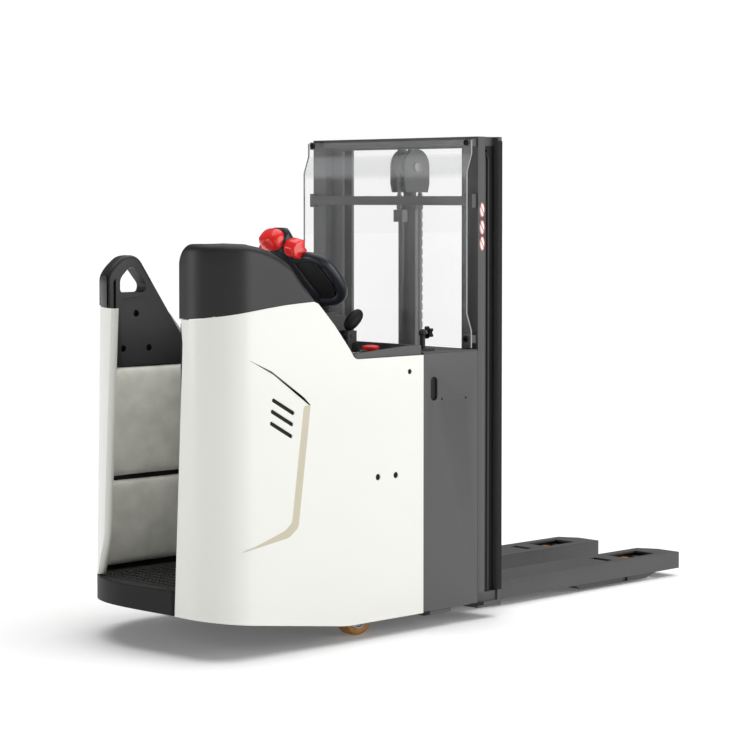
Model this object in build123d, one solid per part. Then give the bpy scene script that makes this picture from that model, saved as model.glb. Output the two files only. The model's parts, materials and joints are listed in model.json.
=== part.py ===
from build123d import *
import os

os.makedirs("parts", exist_ok=True)

# Frame: +X to the fork tips, +Y to the truck's left, +Z up, millimetres.
# The origin is on the floor under the middle of the bounding box.

# ---- overall sizes ----
LENGTH = 2370.0
X_REAR = -LENGTH / 2
X_TIP = LENGTH / 2
HALF_W = 410.0
MAST_TOP = 1617.0

# ---- body plan ----
X_SPLIT = -289.5
X_KINK = -629.5
DEPART = 0.1327
Z_SILL = 57.0
R_NEAR = 147.0
X_NEAR_REAR = -1162.0
Y_NEAR_LIP = -197.0
R_FAR = 376.0
Y_FAR_CENTRE = 34.0
X_FAR_CENTRE = X_REAR + R_FAR
SKIN = 6.0
Z_FLOOR = 196.0
Z_CONSOLE = 902.0
X_WALL = -640.0
Y_INNER = 300.0

# ---- mast ----
X_MAST_REAR = -32.5
X_MAST_FRONT = 81.5
X_CYL = 50.0
R_BARREL = 40.0
R_BORE = 31.0
R_ROD = 22.5
Z_SHEAVE = 1520.0
R_SHEAVE = 55.0

# ---- forks and legs ----
FORK_OUT = 285.0
FORK_W = 173.0
Z_FORK = 88.0
Z_FORK_LOW = 27.0
X_FACE = 190.0
X_BOGIE = 960.0
X_WINDOW = (925.0, 1088.0)
X_SLOT = (820.0, 853.0)
R_LOAD = 37.0
LOAD_PITCH = 96.0

# ---- steering ----
X_STEER = -385.0
Z_HUB = 1082.0
TILT = 46.0
X_THUMB = -240.0

# ---- wheels ----
X_DRIVE = -470.0
R_DRIVE = 115.0
W_DRIVE = 75.0
X_CASTER = -500.0
Y_CASTER = 303.0
R_CASTER = 57.0
TRAIL = 30.0
SIDES = (("right", -1), ("left", 1))


def block(x0, x1, y0, y1, z0, z1):
    """Axis-aligned box between two corners."""
    size = (abs(x1 - x0), abs(y1 - y0), abs(z1 - z0))
    return Pos((x0 + x1) / 2, (y0 + y1) / 2, (z0 + z1) / 2) * Box(*size)


def rod_z(x, y, z0, z1, r):
    """Cylinder along Z."""
    return Pos(x, y, (z0 + z1) / 2) * Cylinder(r, abs(z1 - z0))


def rod_y(x, z, y0, y1, r):
    """Cylinder along Y."""
    return Pos(x, (y0 + y1) / 2, z) * Rot(90, 0, 0) * Cylinder(r, abs(y1 - y0))


def rod_x(y, z, x0, x1, r):
    """Cylinder along X."""
    return Pos((x0 + x1) / 2, y, z) * Rot(0, 90, 0) * Cylinder(r, abs(x1 - x0))


def plan(points, z0, z1):
    """Polygon drawn in X, Y and raised from z0 to z1."""
    face = make_face(Polyline(*points, close=True).edges())
    return Pos(0, 0, z0) * extrude(face, z1 - z0, dir=(0, 0, 1))


def side(points, y0, y1):
    """Polygon drawn in X, Z and carried from y0 to y1."""
    pts = [(x, 0, z) for x, z in points]
    face = make_face(Polyline(*pts, close=True).edges())
    return Pos(0, y0, 0) * extrude(face, y1 - y0, dir=(0, 1, 0))


def front(points, x0, x1):
    """Polygon drawn in Y, Z and carried from x0 to x1."""
    pts = [(0, y, z) for y, z in points]
    face = make_face(Polyline(*pts, close=True).edges())
    return Pos(x0, 0, 0) * extrude(face, x1 - x0, dir=(1, 0, 0))


def solid_plan(edges, z0, z1):
    """Closed plan outline of lines and arcs raised from z0 to z1."""
    return Pos(0, 0, z0) * extrude(make_face(edges), z1 - z0, dir=(0, 0, 1))


def sill(x):
    """Height of the body's lower edge, level and then rising to the rear."""
    return Z_SILL + max(0.0, X_KINK - x) * DEPART


def save(name, shape):
    """Write one sub-part."""
    shape.label = name
    export_step(shape, "parts/" + name + ".step")


def near_area(inset, z0, z1, y_in, x_front):
    """Plan area inside the right shell's outer face, moved in by inset."""
    r = R_NEAR - inset
    y0 = -HALF_W + inset
    x0 = X_NEAR_REAR + inset
    xc = X_NEAR_REAR + R_NEAR
    yc = -HALF_W + R_NEAR
    h = r * 0.70710678
    edges = [
        Line((x_front, y0), (xc, y0)),
        ThreePointArc((xc, y0), (xc - h, yc - h), (x0, yc)),
        Line((x0, yc), (x0, y_in)),
        Line((x0, y_in), (x_front, y_in)),
        Line((x_front, y_in), (x_front, y0)),
    ]
    return solid_plan(edges, z0, z1)


def far_area(inset, z0, z1, y_in, x_front):
    """Plan area inside the left shell's outer face, moved in by inset."""
    r = R_FAR - inset
    xc = X_FAR_CENTRE
    yc = Y_FAR_CENTRE
    h = r * 0.70710678
    edges = [
        Line((x_front, yc + r), (xc, yc + r)),
        ThreePointArc((xc, yc + r), (xc - h, yc + h), (xc - r, yc)),
        Line((xc - r, yc), (xc - r, y_in)),
        Line((xc - r, y_in), (x_front, y_in)),
        Line((x_front, y_in), (x_front, yc + r)),
    ]
    return solid_plan(edges, z0, z1)


SEAM = [(-1200, 1037), (-1162, 1043), (-1140, 1051), (-1088, 1059), (-1033, 1067),
        (-962, 1075.5), (-889, 1083), (-828, 1087), (-770, 1090)]
SHELL_FRONT = [(-752, 1084), (-738, 1071), (-680.5, 1012), (-616.5, 934), (-600, 911),
               (-592, 905), (-583, Z_CONSOLE), (X_SPLIT, Z_CONSOLE)]
CAP_TOP = [(-768, 1096), (-790, 1128), (-820, 1163), (-861, 1210),
           (-918, 1241), (-979, 1263), (-1034, 1273), (-1110, 1275), (-1200, 1272)]

# ---------------------------------------------------------------- body shells
shell_side = [(X_SPLIT, Z_SILL), (X_KINK, Z_SILL), (-1200, sill(-1200))] + SEAM + SHELL_FRONT
lip_cut_r = front([(-240.5, 966), (-229, 1066), (-229, 1300), (0, 1300), (0, 0),
                   (-190, 0), (Y_NEAR_LIP, 130)], -1250, -1100)
right_shell = near_area(0, 0, 1300, -150, X_SPLIT)
right_shell -= near_area(SKIN, -10, 1310, -140, X_SPLIT + 10)
right_shell &= side(shell_side, -420, -100)
right_shell -= lip_cut_r
right_shell += block(X_SPLIT - 8, X_SPLIT, -404, -392, 80, 878)
for hx, hz, hr in ((-352, 851, 6.5), (-494, 520, 9), (-415, 520, 9)):
    right_shell -= rod_y(hx, hz, -430, -395, hr)
for hx, hz in ((-899, 771), (-903, 737), (-905, 700)):
    vent = Pos(hx, -408, hz) * Rot(0, 29, 0) * Box(92, 12, 13)
    right_shell -= vent
save("right_shell", right_shell)

left_side = [(X_SPLIT, Z_SILL), (X_KINK, Z_SILL), (-760, sill(-760)), (-760, 206), (-1200, 206)]
left_side += [(-1200, 1062), (-1162, 1063), (-1088, 1066), (-1033, 1070)] + SEAM[5:] + SHELL_FRONT
left_shell = far_area(0, 0, 1300, 0, X_SPLIT)
left_shell -= far_area(SKIN, -10, 1310, -10, X_SPLIT + 10)
left_shell &= side(left_side, 90, 420)
left_shell -= front([(130, 1300), (130, 1065), (145, 560), (150, 330), (221, 200), (221, 0),
                     (0, 0), (0, 1300)], -1250, -1060)
save("left_shell", left_shell)

# ---------------------------------------------------------------- black caps
CAP_BACK = [(-1200, 1038), (-1162, 1044), (-1140, 1052), (-1088, 1060), (-1033, 1068),
            (-962, 1076.5), (-889, 1084), (-828, 1088), (-770, 1091)]
cap_outer = near_area(1, 900, 1400, -200, -700) & side(CAP_BACK + CAP_TOP, -420, -100)
cap_outer -= block(-1090, -600, -Y_INNER, -100, 900, 1400)
cap_outer -= front([(-229, 900), (-229, 1225), (-250, 1300), (0, 1300), (0, 900)], -1250, -1050)
cap_low = [(x, z - 20) for x, z in CAP_BACK]
cap_roof = [(x - 7, z - 7) for x, z in CAP_TOP]
cap_void = near_area(8, 900, 1400, -250, -690) & side(cap_low + cap_roof, -420, -100)
cap_void -= block(-1097, -600, -Y_INNER - 7, -100, 900, 1400)
right_cap = cap_outer - cap_void
save("right_cap", right_cap)

GRIP = [(-1041, 866), (-1041, 1158), (-1019, 1188), (-975, 1223), (-930, 1226), (-903, 1212),
        (-741, 980), (-700, 925), (-648, 911), (-648, 866)]
left_grip = side(GRIP, 288, 336)
left_grip = fillet(left_grip.edges().filter_by(Axis.Y).group_by(Axis.Z)[-1], 12)
hole_pts = [(-990, 1103), (-990, 1150), (-948, 1192), (-925, 1186), (-878, 1128), (-884, 1103)]
grip_hole = side(hole_pts, 270, 350)
left_grip -= grip_hole
for gx, gz in ((-915, 1034), (-968, 920), (-862, 919)):
    left_grip -= rod_y(gx, gz, 280, 292, 11)
left_grip &= far_area(SKIN + 0.4, 800, 1300, 0, -600)
lid = [(-1160, 1052), (-1088, 1056), (-1033, 1060), (-962, 1066), (-889, 1074), (-828, 1078),
       (-764, 1080), (-745, 1066), (-687, 1007), (-690, 1000), (-750, 1058), (-767, 1070),
       (-828, 1070), (-889, 1066), (-962, 1058), (-1033, 1052), (-1160, 1044)]
left_grip += (side(lid, 300, 420) & far_area(SKIN + 0.4, 900, 1300, 0, -600)) - grip_hole
save("left_grip", left_grip)

# ---------------------------------------------------------------- inner walls
right_liner = block(X_WALL - 450, X_WALL, -306, -Y_INNER, 206, 1060)
right_liner += block(-1156, -1084, -236, -230, 206, 1030)
right_liner += plan([(-1090, -300), (-1084, -306), (-1084, -230), (-1090, -230)], 206, 1030)
right_liner &= side([(-1200, 200), (-600, 200), (-600, 905), (-684, 1005), (-745, 1060), (-1200, 1030)],
                    -420, 0)
save("right_liner", right_liner)

left_liner = block(-1090, X_WALL, 306, 312, 206, 862)
left_liner += plan([(-1150, 216), (-1145, 213), (-1085, 306), (-1090, 312)], 206, 1000)
left_liner &= far_area(SKIN + 0.4, 100, 1300, 0, -600)
save("left_liner", left_liner)

# ---------------------------------------------------------------- soft pads
save("upper_knee_pad", fillet(block(-1044, -652, 281, 305.7, 506, 861).edges(), 8))
save("lower_knee_pad", fillet(block(-1044, -652, 281, 305.7, 210, 494).edges(), 8))
rest = fillet(block(-1070, -700, -299.7, -264, 226, 1000).edges(), 12)
save("backrest_pad", rest)

# ---------------------------------------------------------------- step platform
REAR = [(-1010, -398), (-1108, -356), (-1154, -263), (-1155, -196.7), (-1162.5, -190),
        (-1177.5, -80), (-1184, -10)]


def tray_area(inset, z0, z1):
    """Plan of the step: straight rear edge, then the big far corner."""
    r = R_FAR - inset
    xc = X_FAR_CENTRE
    yc = Y_FAR_CENTRE
    h = r * 0.70710678
    pts = [(x + inset, y + (inset if y < -300 else 0)) for x, y in REAR]
    xf = X_WALL - 1
    edges = [Line((xf, -398 + inset), pts[0])]
    for a, b in zip(pts, pts[1:]):
        edges.append(Line(a, b))
    edges.append(Line(pts[-1], (xc - r, yc)))
    edges.append(ThreePointArc((xc - r, yc), (xc - h, yc + h), (xc, yc + r)))
    edges.append(Line((xc, yc + r), (xf, yc + r)))
    edges.append(Line((xf, yc + r), (xf, -398 + inset)))
    return solid_plan(edges, z0, z1)


wedge = side([(X_WALL + 10, sill(X_WALL)), (-1250, sill(-1250)), (-1250, 260), (X_WALL + 10, 260)],
             -420, 420)
step_platform = tray_area(0, 0, 204.5) & wedge
step_platform -= tray_area(8, -10, Z_FLOOR - 8)
step_platform -= block(-700, X_WALL, -385, 374, -10, Z_FLOOR - 8)
step_platform -= tray_area(8, Z_FLOOR, 260)
step_platform -= block(-770, X_WALL + 20, 384, 420, 0, 260)
save("step_platform", step_platform)

floor_mat = tray_area(10, Z_FLOOR + 0.2, Z_FLOOR + 5) & block(-1200, X_WALL - 4, -290, 278, 0, 300)
for i in range(14):
    floor_mat += block(-1120 + i * 33, -1106 + i * 33, -180, 225, Z_FLOOR + 4, Z_FLOOR + 8)
save("floor_mat", floor_mat)

# ---------------------------------------------------------------- chassis frame
base = block(-640, -20, -396, 396, 62, 74)
base -= block(X_DRIVE - 150, X_DRIVE + 150, -150, 150, 50, 90)
for s in (-1, 1):
    base -= rod_z(X_CASTER + TRAIL, s * Y_CASTER, 50, 90, 95)
    base += block(-284, -156, s * 378, s * 407, 46, 58.4) + block(-284, -156, s * 378, s * 394, 46, 63)
base += block(-30, 70, -408, 408, 40, 58.4) + block(-30, 70, -401, 401, 58, 90)
base += block(-288, -50, -345, 345, 73, 117.6) - block(-282, -56, -339, 339, 70, 130)
for s in (-1, 1):
    base -= block(64.2, 90, s * 344.5, s * 410, 30, 100)
save("base_plate", base)

chassis = Part()
for s in (-1, 1):
    chassis += block(-636, -300, s * 392, s * 400, 74.2, 560)
chassis += block(-640, -632, -396, 396, 74.2, 880)
chassis += block(-300, -292, -388, 388, 74.2, 860)
chassis += block(-632, -300, -392, 392, 300, 312)
chassis -= rod_z(X_DRIVE, 0, 290, 320, 97)
chassis += block(-1120, -640, -260, 215, 176, 187.5)
for y in (-250, 0, 205):
    chassis += block(-1080, -636, y - 8, y + 8, 150, 180)
for s in (-1, 1):
    chassis += rod_z(X_CASTER + TRAIL, s * Y_CASTER, 150, 162, 60)
    chassis += block(X_CASTER + TRAIL - 60, X_CASTER + TRAIL + 60, s * 240, s * 396, 150, 162)
    chassis -= rod_z(X_CASTER + TRAIL, s * Y_CASTER, 140, 170, 15)
save("chassis_frame", chassis)

for name, s in SIDES:
    foot = [(70.3, 34), (600, 34), (640, 9), (1003, 9), (1090, 34), (1090, 70), (70.3, 70)]
    y_out = s * (FORK_OUT - 9)
    y_in = s * (FORK_OUT - FORK_W + 9)
    leg = side(foot, min(y_out, y_in), max(y_out, y_in))
    leg -= block(X_BOGIE - 110, X_BOGIE + 110, s * (FORK_OUT - 27), s * (FORK_OUT - FORK_W + 27),
                 -5, 80)
    leg -= block(120, 760, s * (FORK_OUT - 21), s * (FORK_OUT - FORK_W + 21), 20, 62)
    leg -= rod_y(X_BOGIE, 40, -300, 300, 9)
    leg -= block(871, 898, s * (FORK_OUT - 6), s * (FORK_OUT - 18), 11, 29)
    save(name + "_support_leg", leg)

    y_mid = s * (FORK_OUT - FORK_W / 2)
    bogie = Part() + rod_y(X_BOGIE, 40, y_mid - 76, y_mid + 76, 8.95)
    for side_y in (-1, 1):
        plate = side([(X_BOGIE - 60, 27), (X_BOGIE + 60, 27), (X_BOGIE + 60, 50), (X_BOGIE - 60, 50)],
                     y_mid + side_y * 52 - 3, y_mid + side_y * 52 + 3)
        bogie += plate
    for k in (-1, 1):
        bogie += rod_y(X_BOGIE + k * LOAD_PITCH / 2, R_LOAD, y_mid - 54, y_mid + 54, 7.95)
    save(name + "_load_bogie", bogie)
    for tag, k in (("rear", -1), ("front", 1)):
        xw = X_BOGIE + k * LOAD_PITCH / 2
        wheel = rod_y(xw, R_LOAD, y_mid - 46, y_mid + 46, R_LOAD)
        wheel -= rod_y(xw, R_LOAD, y_mid - 60, y_mid + 60, 8.0)
        wheel = fillet(wheel.edges().filter_by(GeomType.CIRCLE).group_by(SortBy.RADIUS)[-1], 4)
        save(name + "_load_roller_" + tag, wheel)

# ---------------------------------------------------------------- side and top covers
for name, s in SIDES:
    cover = side([(X_SPLIT + 1.5, 59), (X_MAST_REAR - 1, 59), (X_MAST_REAR - 1, 905),
                  (X_SPLIT + 1.5, 905)], min(s * 402, s * 408), max(s * 402, s * 408))
    slot = block(-254, -223, s * 395, s * 415, 750, 828)
    slot = fillet(slot.edges().filter_by(Axis.Y), 14)
    cover -= slot
    cover -= rod_y(-202, 753, s * 395, s * 415, 4)
    cover -= rod_y(-90, 751, s * 395, s * 415, 4)
    cover += block(-284, -276, s * 390, s * 403, 120, 860)
    cover += block(-52, -44, s * 390, s * 403, 120, 860)
    save(name + "_side_cover", cover)

top_cover = block(X_SPLIT + 2, -36, -408, 408, 905.5, 909.5)
top_cover += block(X_SPLIT + 6, X_SPLIT + 12, -380, 380, 880, 906)
top_cover += block(-48, -42, -380, 380, 880, 906)
save("top_cover", top_cover)

# ---------------------------------------------------------------- console
CONSOLE = [(X_WALL + 1, 884), (X_WALL + 1, 912), (-600, 917), (-345, 934), (X_SPLIT - 4, 934),
           (X_SPLIT - 4, 884)]
console = side(CONSOLE, -403, 403)
console -= side([(-628, 908), (-600, 917.1), (-345, 934.1), (-310, 934.1), (-310, 908)], -385, 385)
console -= block(-620, -305, -380, 380, 870, 902)
console += block(X_STEER - 52, X_STEER + 75, -62, 62, 904, 1020)
console += block(X_STEER - 46, X_STEER + 46, -46, 46, 1018, 1030)
console -= rod_z(X_STEER, 0, 870, 1060, 27)
console -= rod_z(-415, -292, 890, 915, 12.2)
console -= rod_z(-520, -330, 890, 915, 9.2)
save("console", console)

estop = rod_z(-415, -292, 896, 926, 12)
estop += Pos(-415, -292, 926) * Cylinder(28, 14)
estop = fillet(estop.edges().filter_by(GeomType.CIRCLE).group_by(Axis.Z)[-1], 6)
save("emergency_stop", estop)

key = rod_z(-520, -330, 894, 914, 9)
key += block(-523, -517, -344, -316, 913, 938)
save("key_switch", key)

lever_base = block(-462, -390, -215, -165, 908.2, 924)
lever_base += block(-442, -402, -212, -204, 920, 978)
lever_base += block(-442, -402, -176, -168, 920, 978)
lever_base -= rod_y(-422, 962, -220, -160, 6.1)
save("lever_bracket", lever_base)
lever = rod_y(-422, 962, -214, -166, 6) + rod_y(-422, 962, -200, -180, 14)
lever += Pos(-408, -190, 990) * Rot(0, 35, 0) * Box(18, 14, 62)
lever += Pos(-392, -190, 1018) * Rot(0, -48, 0) * Cylinder(30, 14)
save("lift_lever", lever)

mount = block(-250, -180, -352, -308, 909.7, 915)
mount += rod_z(-215, -330, 914, 968, 9) + Pos(-215, -330, 968) * Sphere(13)
save("accessory_post", mount)
knob = rod_x(-330, 968, -197, -178, 15)
knob = knob + rod_x(-330, 968, -201.5, -197, 6)
for a in range(5):
    knob += Pos(-187, -330, 968) * Rot(a * 72, 0, 0) * Pos(0, 0, 15) * Rot(0, 90, 0) * Cylinder(6, 16)
save("clamp_knob", knob)

# ---------------------------------------------------------------- steering handle
HUB = Pos(X_STEER, 0, Z_HUB) * Rot(0, TILT, 0)


def in_hub(shape):
    """Place a shape drawn along the handle's own -X axis."""
    return HUB * shape


column = rod_z(X_STEER, 0, 880, 1052, 26.95) + rod_z(X_STEER, 0, 1032, 1078, 40)
hub = in_hub(block(-300, 34, -46, 46, -34, 26))
hub = fillet(hub.edges().filter_by(lambda e: e.length > 300), 14)
handle = column + hub
for s in (-1, 1):
    ring = block(-214, 10, 38, 172, -20, 18)
    ring = fillet(ring.edges().filter_by(Axis.Z).group_by(Axis.Y)[-1], 52)
    ring -= fillet(block(-176, -26, 30, 136, -40, 40).edges().filter_by(Axis.Z), 26)
    ring = ring if s > 0 else mirror(ring, about=Plane.XZ)
    handle += in_hub(ring)
handle -= in_hub(block(-310, -276, -33, 33, -22, 16))
handle -= in_hub(rod_y(X_THUMB, -2, -70, 70, 7))
save("steering_handle", handle)

belly = in_hub(fillet(block(-318, -286, -32.5, 32.5, -21.5, 15.5).edges().filter_by(Axis.Z), 10))
save("belly_button", belly)
thumb = rod_y(X_THUMB, -2, -72, 72, 6.95)
for s in (-1, 1):
    thumb += rod_y(X_THUMB, -2, s * 47, s * 80, 21)
    thumb += Pos(X_THUMB - 12, s * 63.5, 12) * Rot(0, -35, 0) * Box(22, 33, 34)
save("thumb_control", in_hub(thumb))

# ---------------------------------------------------------------- screen guard
shield = front([(-404, 914), (-390, 1030), (-390, 1499), (-404, 1560), (-404, 1604), (404, 1604),
                (404, 1560), (390, 1499), (390, 1030), (404, 914)], -61, -56)
save("screen_guard", shield)
bar = block(-54.5, -46.5, -402, 402, 1388, 1419)
for s in (-1, 1):
    bar += block(-55, -33.2, s * 384, s * 402, 1380, 1427)
    bar += block(-55, -33.2, s * 360, s * 402, 1584, 1610)
    bar += block(-55, -33.2, s * 360, s * 402, 930, 956)
save("guard_bracket", bar)
bolts = Part()
for s in (-1, 1):
    for z in (1597, 943):
        bolts += rod_x(s * 381, z, -67, -61.2, 9)

# ---------------------------------------------------------------- outer mast
outer = Part()
for s in (-1, 1):
    outer += block(X_MAST_REAR, 0.5, s * 345, s * 408, 90.2, MAST_TOP)
    outer += block(64.5, X_MAST_FRONT, s * 345, s * 408, 40, MAST_TOP)
    outer += block(0, 65, s * 370, s * 386, 90.2, MAST_TOP)
outer += block(X_MAST_REAR, -14.5, -408, 408, 1588, MAST_TOP)
outer += block(X_MAST_REAR, -14.5, -350, 350, 700, 780)
outer += block(X_MAST_REAR, 64, -350, 350, 90.2, 108)
for s in (-1, 1):
    outer -= rod_y(20, 1570, s * 360, s * 400, 9)
save("outer_mast", outer)

for s in (-1, 1):
    bolts += rod_y(20, 1570, s * 370, s * 386.3, 8.95) + rod_y(20, 1570, s * 386.2, s * 393, 14)
save("bolts", bolts)

# ---------------------------------------------------------------- inner mast
inner = Part()
for s in (-1, 1):
    inner += block(3.5, 15.5, s * 296, s * 366, 112, 1600)
    inner += block(49.5, 61.5, s * 296, s * 366, 112, 1600)
    inner += block(15, 50, s * 332, s * 346, 112, 1600)
    inner += block(49.5, 104, s * 296, s * 308, 109, 118.5)
inner += block(92, 104, -308, 308, 109, 118.5)
inner += block(3.5, 15.5, -300, 300, 1580, 1600)
inner += block(15, 50, -28, 28, 1592, 1600)
save("inner_mast", inner)

barrel = rod_z(X_CYL, 0, 108.3, 1384, R_BARREL) - rod_z(X_CYL, 0, 124, 1400, R_BORE)
barrel -= block(0, 120, -50, 50, 1384, 1400)
barrel += block(X_CYL - 58, X_CYL - 30, -22, 22, 1330, 1372)
gland = rod_z(X_CYL, 0, 1380, 1402, R_BARREL + 3) - rod_z(X_CYL, 0, 1370, 1410, R_ROD + 0.05)
save("lift_cylinder", barrel + gland)
ram = rod_z(X_CYL, 0, 130, 1440, R_ROD) + rod_z(X_CYL, 0, 130, 150, R_BORE - 0.05)
ram += block(X_CYL - 34, X_CYL + 34, -30, 30, 1432, 1452)
for s in (-1, 1):
    ram += block(X_CYL - 34, X_CYL + 34, s * 20, s * 30, 1440, 1540)
ram -= block(62, 90, -35, 35, 1546, 1600)
ram += block(16, 48, -26, 26, 1588, 1591.7)
ram += block(20, 34, 20, 30, 1538, 1590) + block(20, 34, -30, -20, 1538, 1590)
ram += rod_y(X_CYL, Z_SHEAVE, -36, 36, 9.95) + rod_y(X_CYL, Z_SHEAVE, -38, -30, 15)
save("lift_ram", ram)
sheave = rod_y(X_CYL, Z_SHEAVE, -18, 18, R_SHEAVE) - rod_y(X_CYL, Z_SHEAVE, -20, 20, 10.0)
groove = rod_y(X_CYL, Z_SHEAVE, -13, 13, R_SHEAVE + 5) - rod_y(X_CYL, Z_SHEAVE, -14, 14, R_SHEAVE - 9)
save("chain_sheave", sheave - groove)

# ---------------------------------------------------------------- lift chain
R_CHAIN = R_SHEAVE - 8.6
arc = rod_y(X_CYL, Z_SHEAVE, -10, 10, R_CHAIN + 8) - rod_y(X_CYL, Z_SHEAVE, -11, 11, R_CHAIN)
arc &= block(-60, 160, -20, 20, Z_SHEAVE, 1620)
save("chain_over_sheave", arc)
x_run = X_CYL + R_CHAIN
save("chain_front_run", block(x_run, x_run + 8, -10, 10, 420.5, Z_SHEAVE - 0.3))
x_back = X_CYL - R_CHAIN - 8
save("chain_rear_run", block(x_back, x_back + 8, -10, 10, 1372.3, Z_SHEAVE - 0.3))

# ---------------------------------------------------------------- carriage and forks
carriage = Part()
for s in (-1, 1):
    carriage += block(4, X_FACE, s * 276, s * 288, 120, 470)
    for z in (160, 430):
        carriage += rod_y(32.5, z, s * 286, s * 300, 12)
carriage += block(X_FACE - 16, X_FACE, -288, 288, 120, 200)
carriage += block(X_FACE - 16, X_FACE, -288, 288, 390, 470)
carriage += block(104, X_FACE - 10, -30, 30, 398, 420)
carriage += block(90, 112, -22, 22, 398, 420)
save("carriage", carriage)
rollers = Part()
for s in (-1, 1):
    for z in (160, 430):
        rollers += rod_y(32.5, z, s * 300.4, s * 328, 16.8) - rod_y(32.5, z, s * 300, s * 330, 6)
save("carriage_rollers", rollers)

for name, s in SIDES:
    y_out = s * FORK_OUT
    y_in = s * (FORK_OUT - FORK_W)
    c = FORK_W / 2
    ym = (y_out + y_in) / 2
    top = [(X_FACE + 0.5, ym - c), (X_TIP, ym - c), (X_TIP, ym + c - 70), (X_TIP - 40, ym + c),
           (X_FACE + 0.5, ym + c)]
    fork = plan(top, Z_FORK_LOW, Z_FORK)
    fork -= block(X_FACE - 5, X_TIP - 78, ym - c + 8, ym + c - 8, 0, 80)
    fork -= block(*X_WINDOW, ym - 48, ym + 48, 70, 100)
    fork -= block(*X_SLOT, ym - 45, ym + 45, 70, 100)
    fork += block(X_FACE + 0.5, X_FACE + 22, ym - c, ym + c, 80, 470)
    save(name + "_fork", fork)

# ---------------------------------------------------------------- drive unit
flange = rod_z(X_DRIVE, 0, 312.3, 324, 120) + rod_z(X_DRIVE, 0, 288, 313, 96)
drive = flange + rod_z(X_DRIVE, 0, 324, 360, 78)
drive += rod_z(X_DRIVE, 0, 245, 290, 80)
drive += block(X_DRIVE - 60, X_DRIVE + 60, 52, 84, 78, 270)
drive += rod_y(X_DRIVE, R_DRIVE, 52, 84, 62)
drive += block(X_DRIVE - 62, X_DRIVE + 62, -60, 84, 246, 262)
drive += rod_y(X_DRIVE, R_DRIVE, 38.4, 54, 34)
save("drive_gearbox", drive)
motor = rod_z(X_DRIVE, 0, 360.2, 560, 74) + rod_z(X_DRIVE, 0, 560, 590, 40)
for k in range(6):
    motor += rod_z(X_DRIVE, 0, 390 + k * 26, 400 + k * 26, 79)
save("drive_motor", motor)
tyre = rod_y(X_DRIVE, R_DRIVE, -W_DRIVE / 2, W_DRIVE / 2, R_DRIVE) - rod_y(X_DRIVE, R_DRIVE, -60, 60, 82)
tyre = fillet(tyre.edges().filter_by(GeomType.CIRCLE).group_by(SortBy.RADIUS)[-1], 6)
save("drive_tyre", tyre)
rim = rod_y(X_DRIVE, R_DRIVE, -W_DRIVE / 2, W_DRIVE / 2, 81.95) - rod_y(X_DRIVE, R_DRIVE, -60, -12, 66)
rim -= rod_y(X_DRIVE, R_DRIVE, 14, 60, 66)
save("drive_rim", rim)

for name, s in SIDES:
    y = s * Y_CASTER
    xs = X_CASTER + TRAIL
    fork_c = rod_z(xs, y, 140, 149.6, 48) + rod_z(xs, y, 134, 142, 40)
    for k in (-1, 1):
        fork_c += side([(X_CASTER - 18, 44), (X_CASTER + 16, 44), (xs + 36, 136), (xs - 40, 136)],
                       y + k * 33 - 3, y + k * 33 + 3)
    fork_c += rod_z(xs, y, 134, 170, 14.95)
    fork_c += rod_y(X_CASTER, R_CASTER, y - 38, y + 38, 7.95)
    save(name + "_caster_fork", fork_c)
    cw = rod_y(X_CASTER, R_CASTER, y - 25, y + 25, R_CASTER) - rod_y(X_CASTER, R_CASTER, y - 40, y + 40, 8)
    cw = fillet(cw.edges().filter_by(GeomType.CIRCLE).group_by(SortBy.RADIUS)[-1], 5)
    save(name + "_caster_wheel", cw)

# ---------------------------------------------------------------- power pack
battery = fillet(block(-276, -60, -330, 330, 118, 700).edges().filter_by(Axis.Z), 8)
battery += block(-200, -130, -300, -240, 700, 716) + block(-200, -130, 240, 300, 700, 716)
save("battery", battery)
pump = rod_z(-360, 250, 322, 470, 52) + block(-420, -306, 196, 306, 312.3, 324)
pump += block(-410, -312, 204, 296, 470, 510)
tank = fillet(block(-620, -500, 160, 380, 312.4, 600).edges().filter_by(Axis.Z), 12)
save("hydraulic_unit", pump + tank + rod_x(250, 360, -502, -405, 9))
ctrl = block(-420, -306, -330, -170, 330, 560)
for k in range(8):
    ctrl += block(-424, -418, -326 + k * 20, -320 + k * 20, 336, 554)
ctrl += block(-412, -314, -320, -180, 312.2, 331)
save("motor_controller", ctrl)
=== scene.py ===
import json
import math
import bmesh
import bpy
import numpy as np
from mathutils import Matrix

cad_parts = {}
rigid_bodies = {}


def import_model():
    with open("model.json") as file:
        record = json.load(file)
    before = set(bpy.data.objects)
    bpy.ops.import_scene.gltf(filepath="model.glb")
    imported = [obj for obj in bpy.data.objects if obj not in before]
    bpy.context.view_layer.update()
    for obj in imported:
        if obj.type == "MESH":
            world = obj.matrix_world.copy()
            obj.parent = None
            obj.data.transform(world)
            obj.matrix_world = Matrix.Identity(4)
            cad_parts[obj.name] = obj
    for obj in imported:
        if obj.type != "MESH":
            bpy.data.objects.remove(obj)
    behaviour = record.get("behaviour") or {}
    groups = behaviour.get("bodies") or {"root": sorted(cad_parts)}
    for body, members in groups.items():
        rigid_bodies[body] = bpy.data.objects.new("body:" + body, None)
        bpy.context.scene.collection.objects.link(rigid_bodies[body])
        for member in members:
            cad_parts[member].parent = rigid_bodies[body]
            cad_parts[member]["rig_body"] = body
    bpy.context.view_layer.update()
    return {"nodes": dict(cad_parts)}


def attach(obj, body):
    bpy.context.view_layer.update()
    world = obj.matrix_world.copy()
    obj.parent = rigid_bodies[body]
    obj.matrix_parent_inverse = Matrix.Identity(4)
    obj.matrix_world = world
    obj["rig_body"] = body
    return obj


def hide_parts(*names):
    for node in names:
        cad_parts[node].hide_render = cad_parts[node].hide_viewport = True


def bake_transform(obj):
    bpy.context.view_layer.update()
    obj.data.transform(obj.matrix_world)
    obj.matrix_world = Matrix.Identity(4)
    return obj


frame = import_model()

scene = bpy.context.scene

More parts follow.
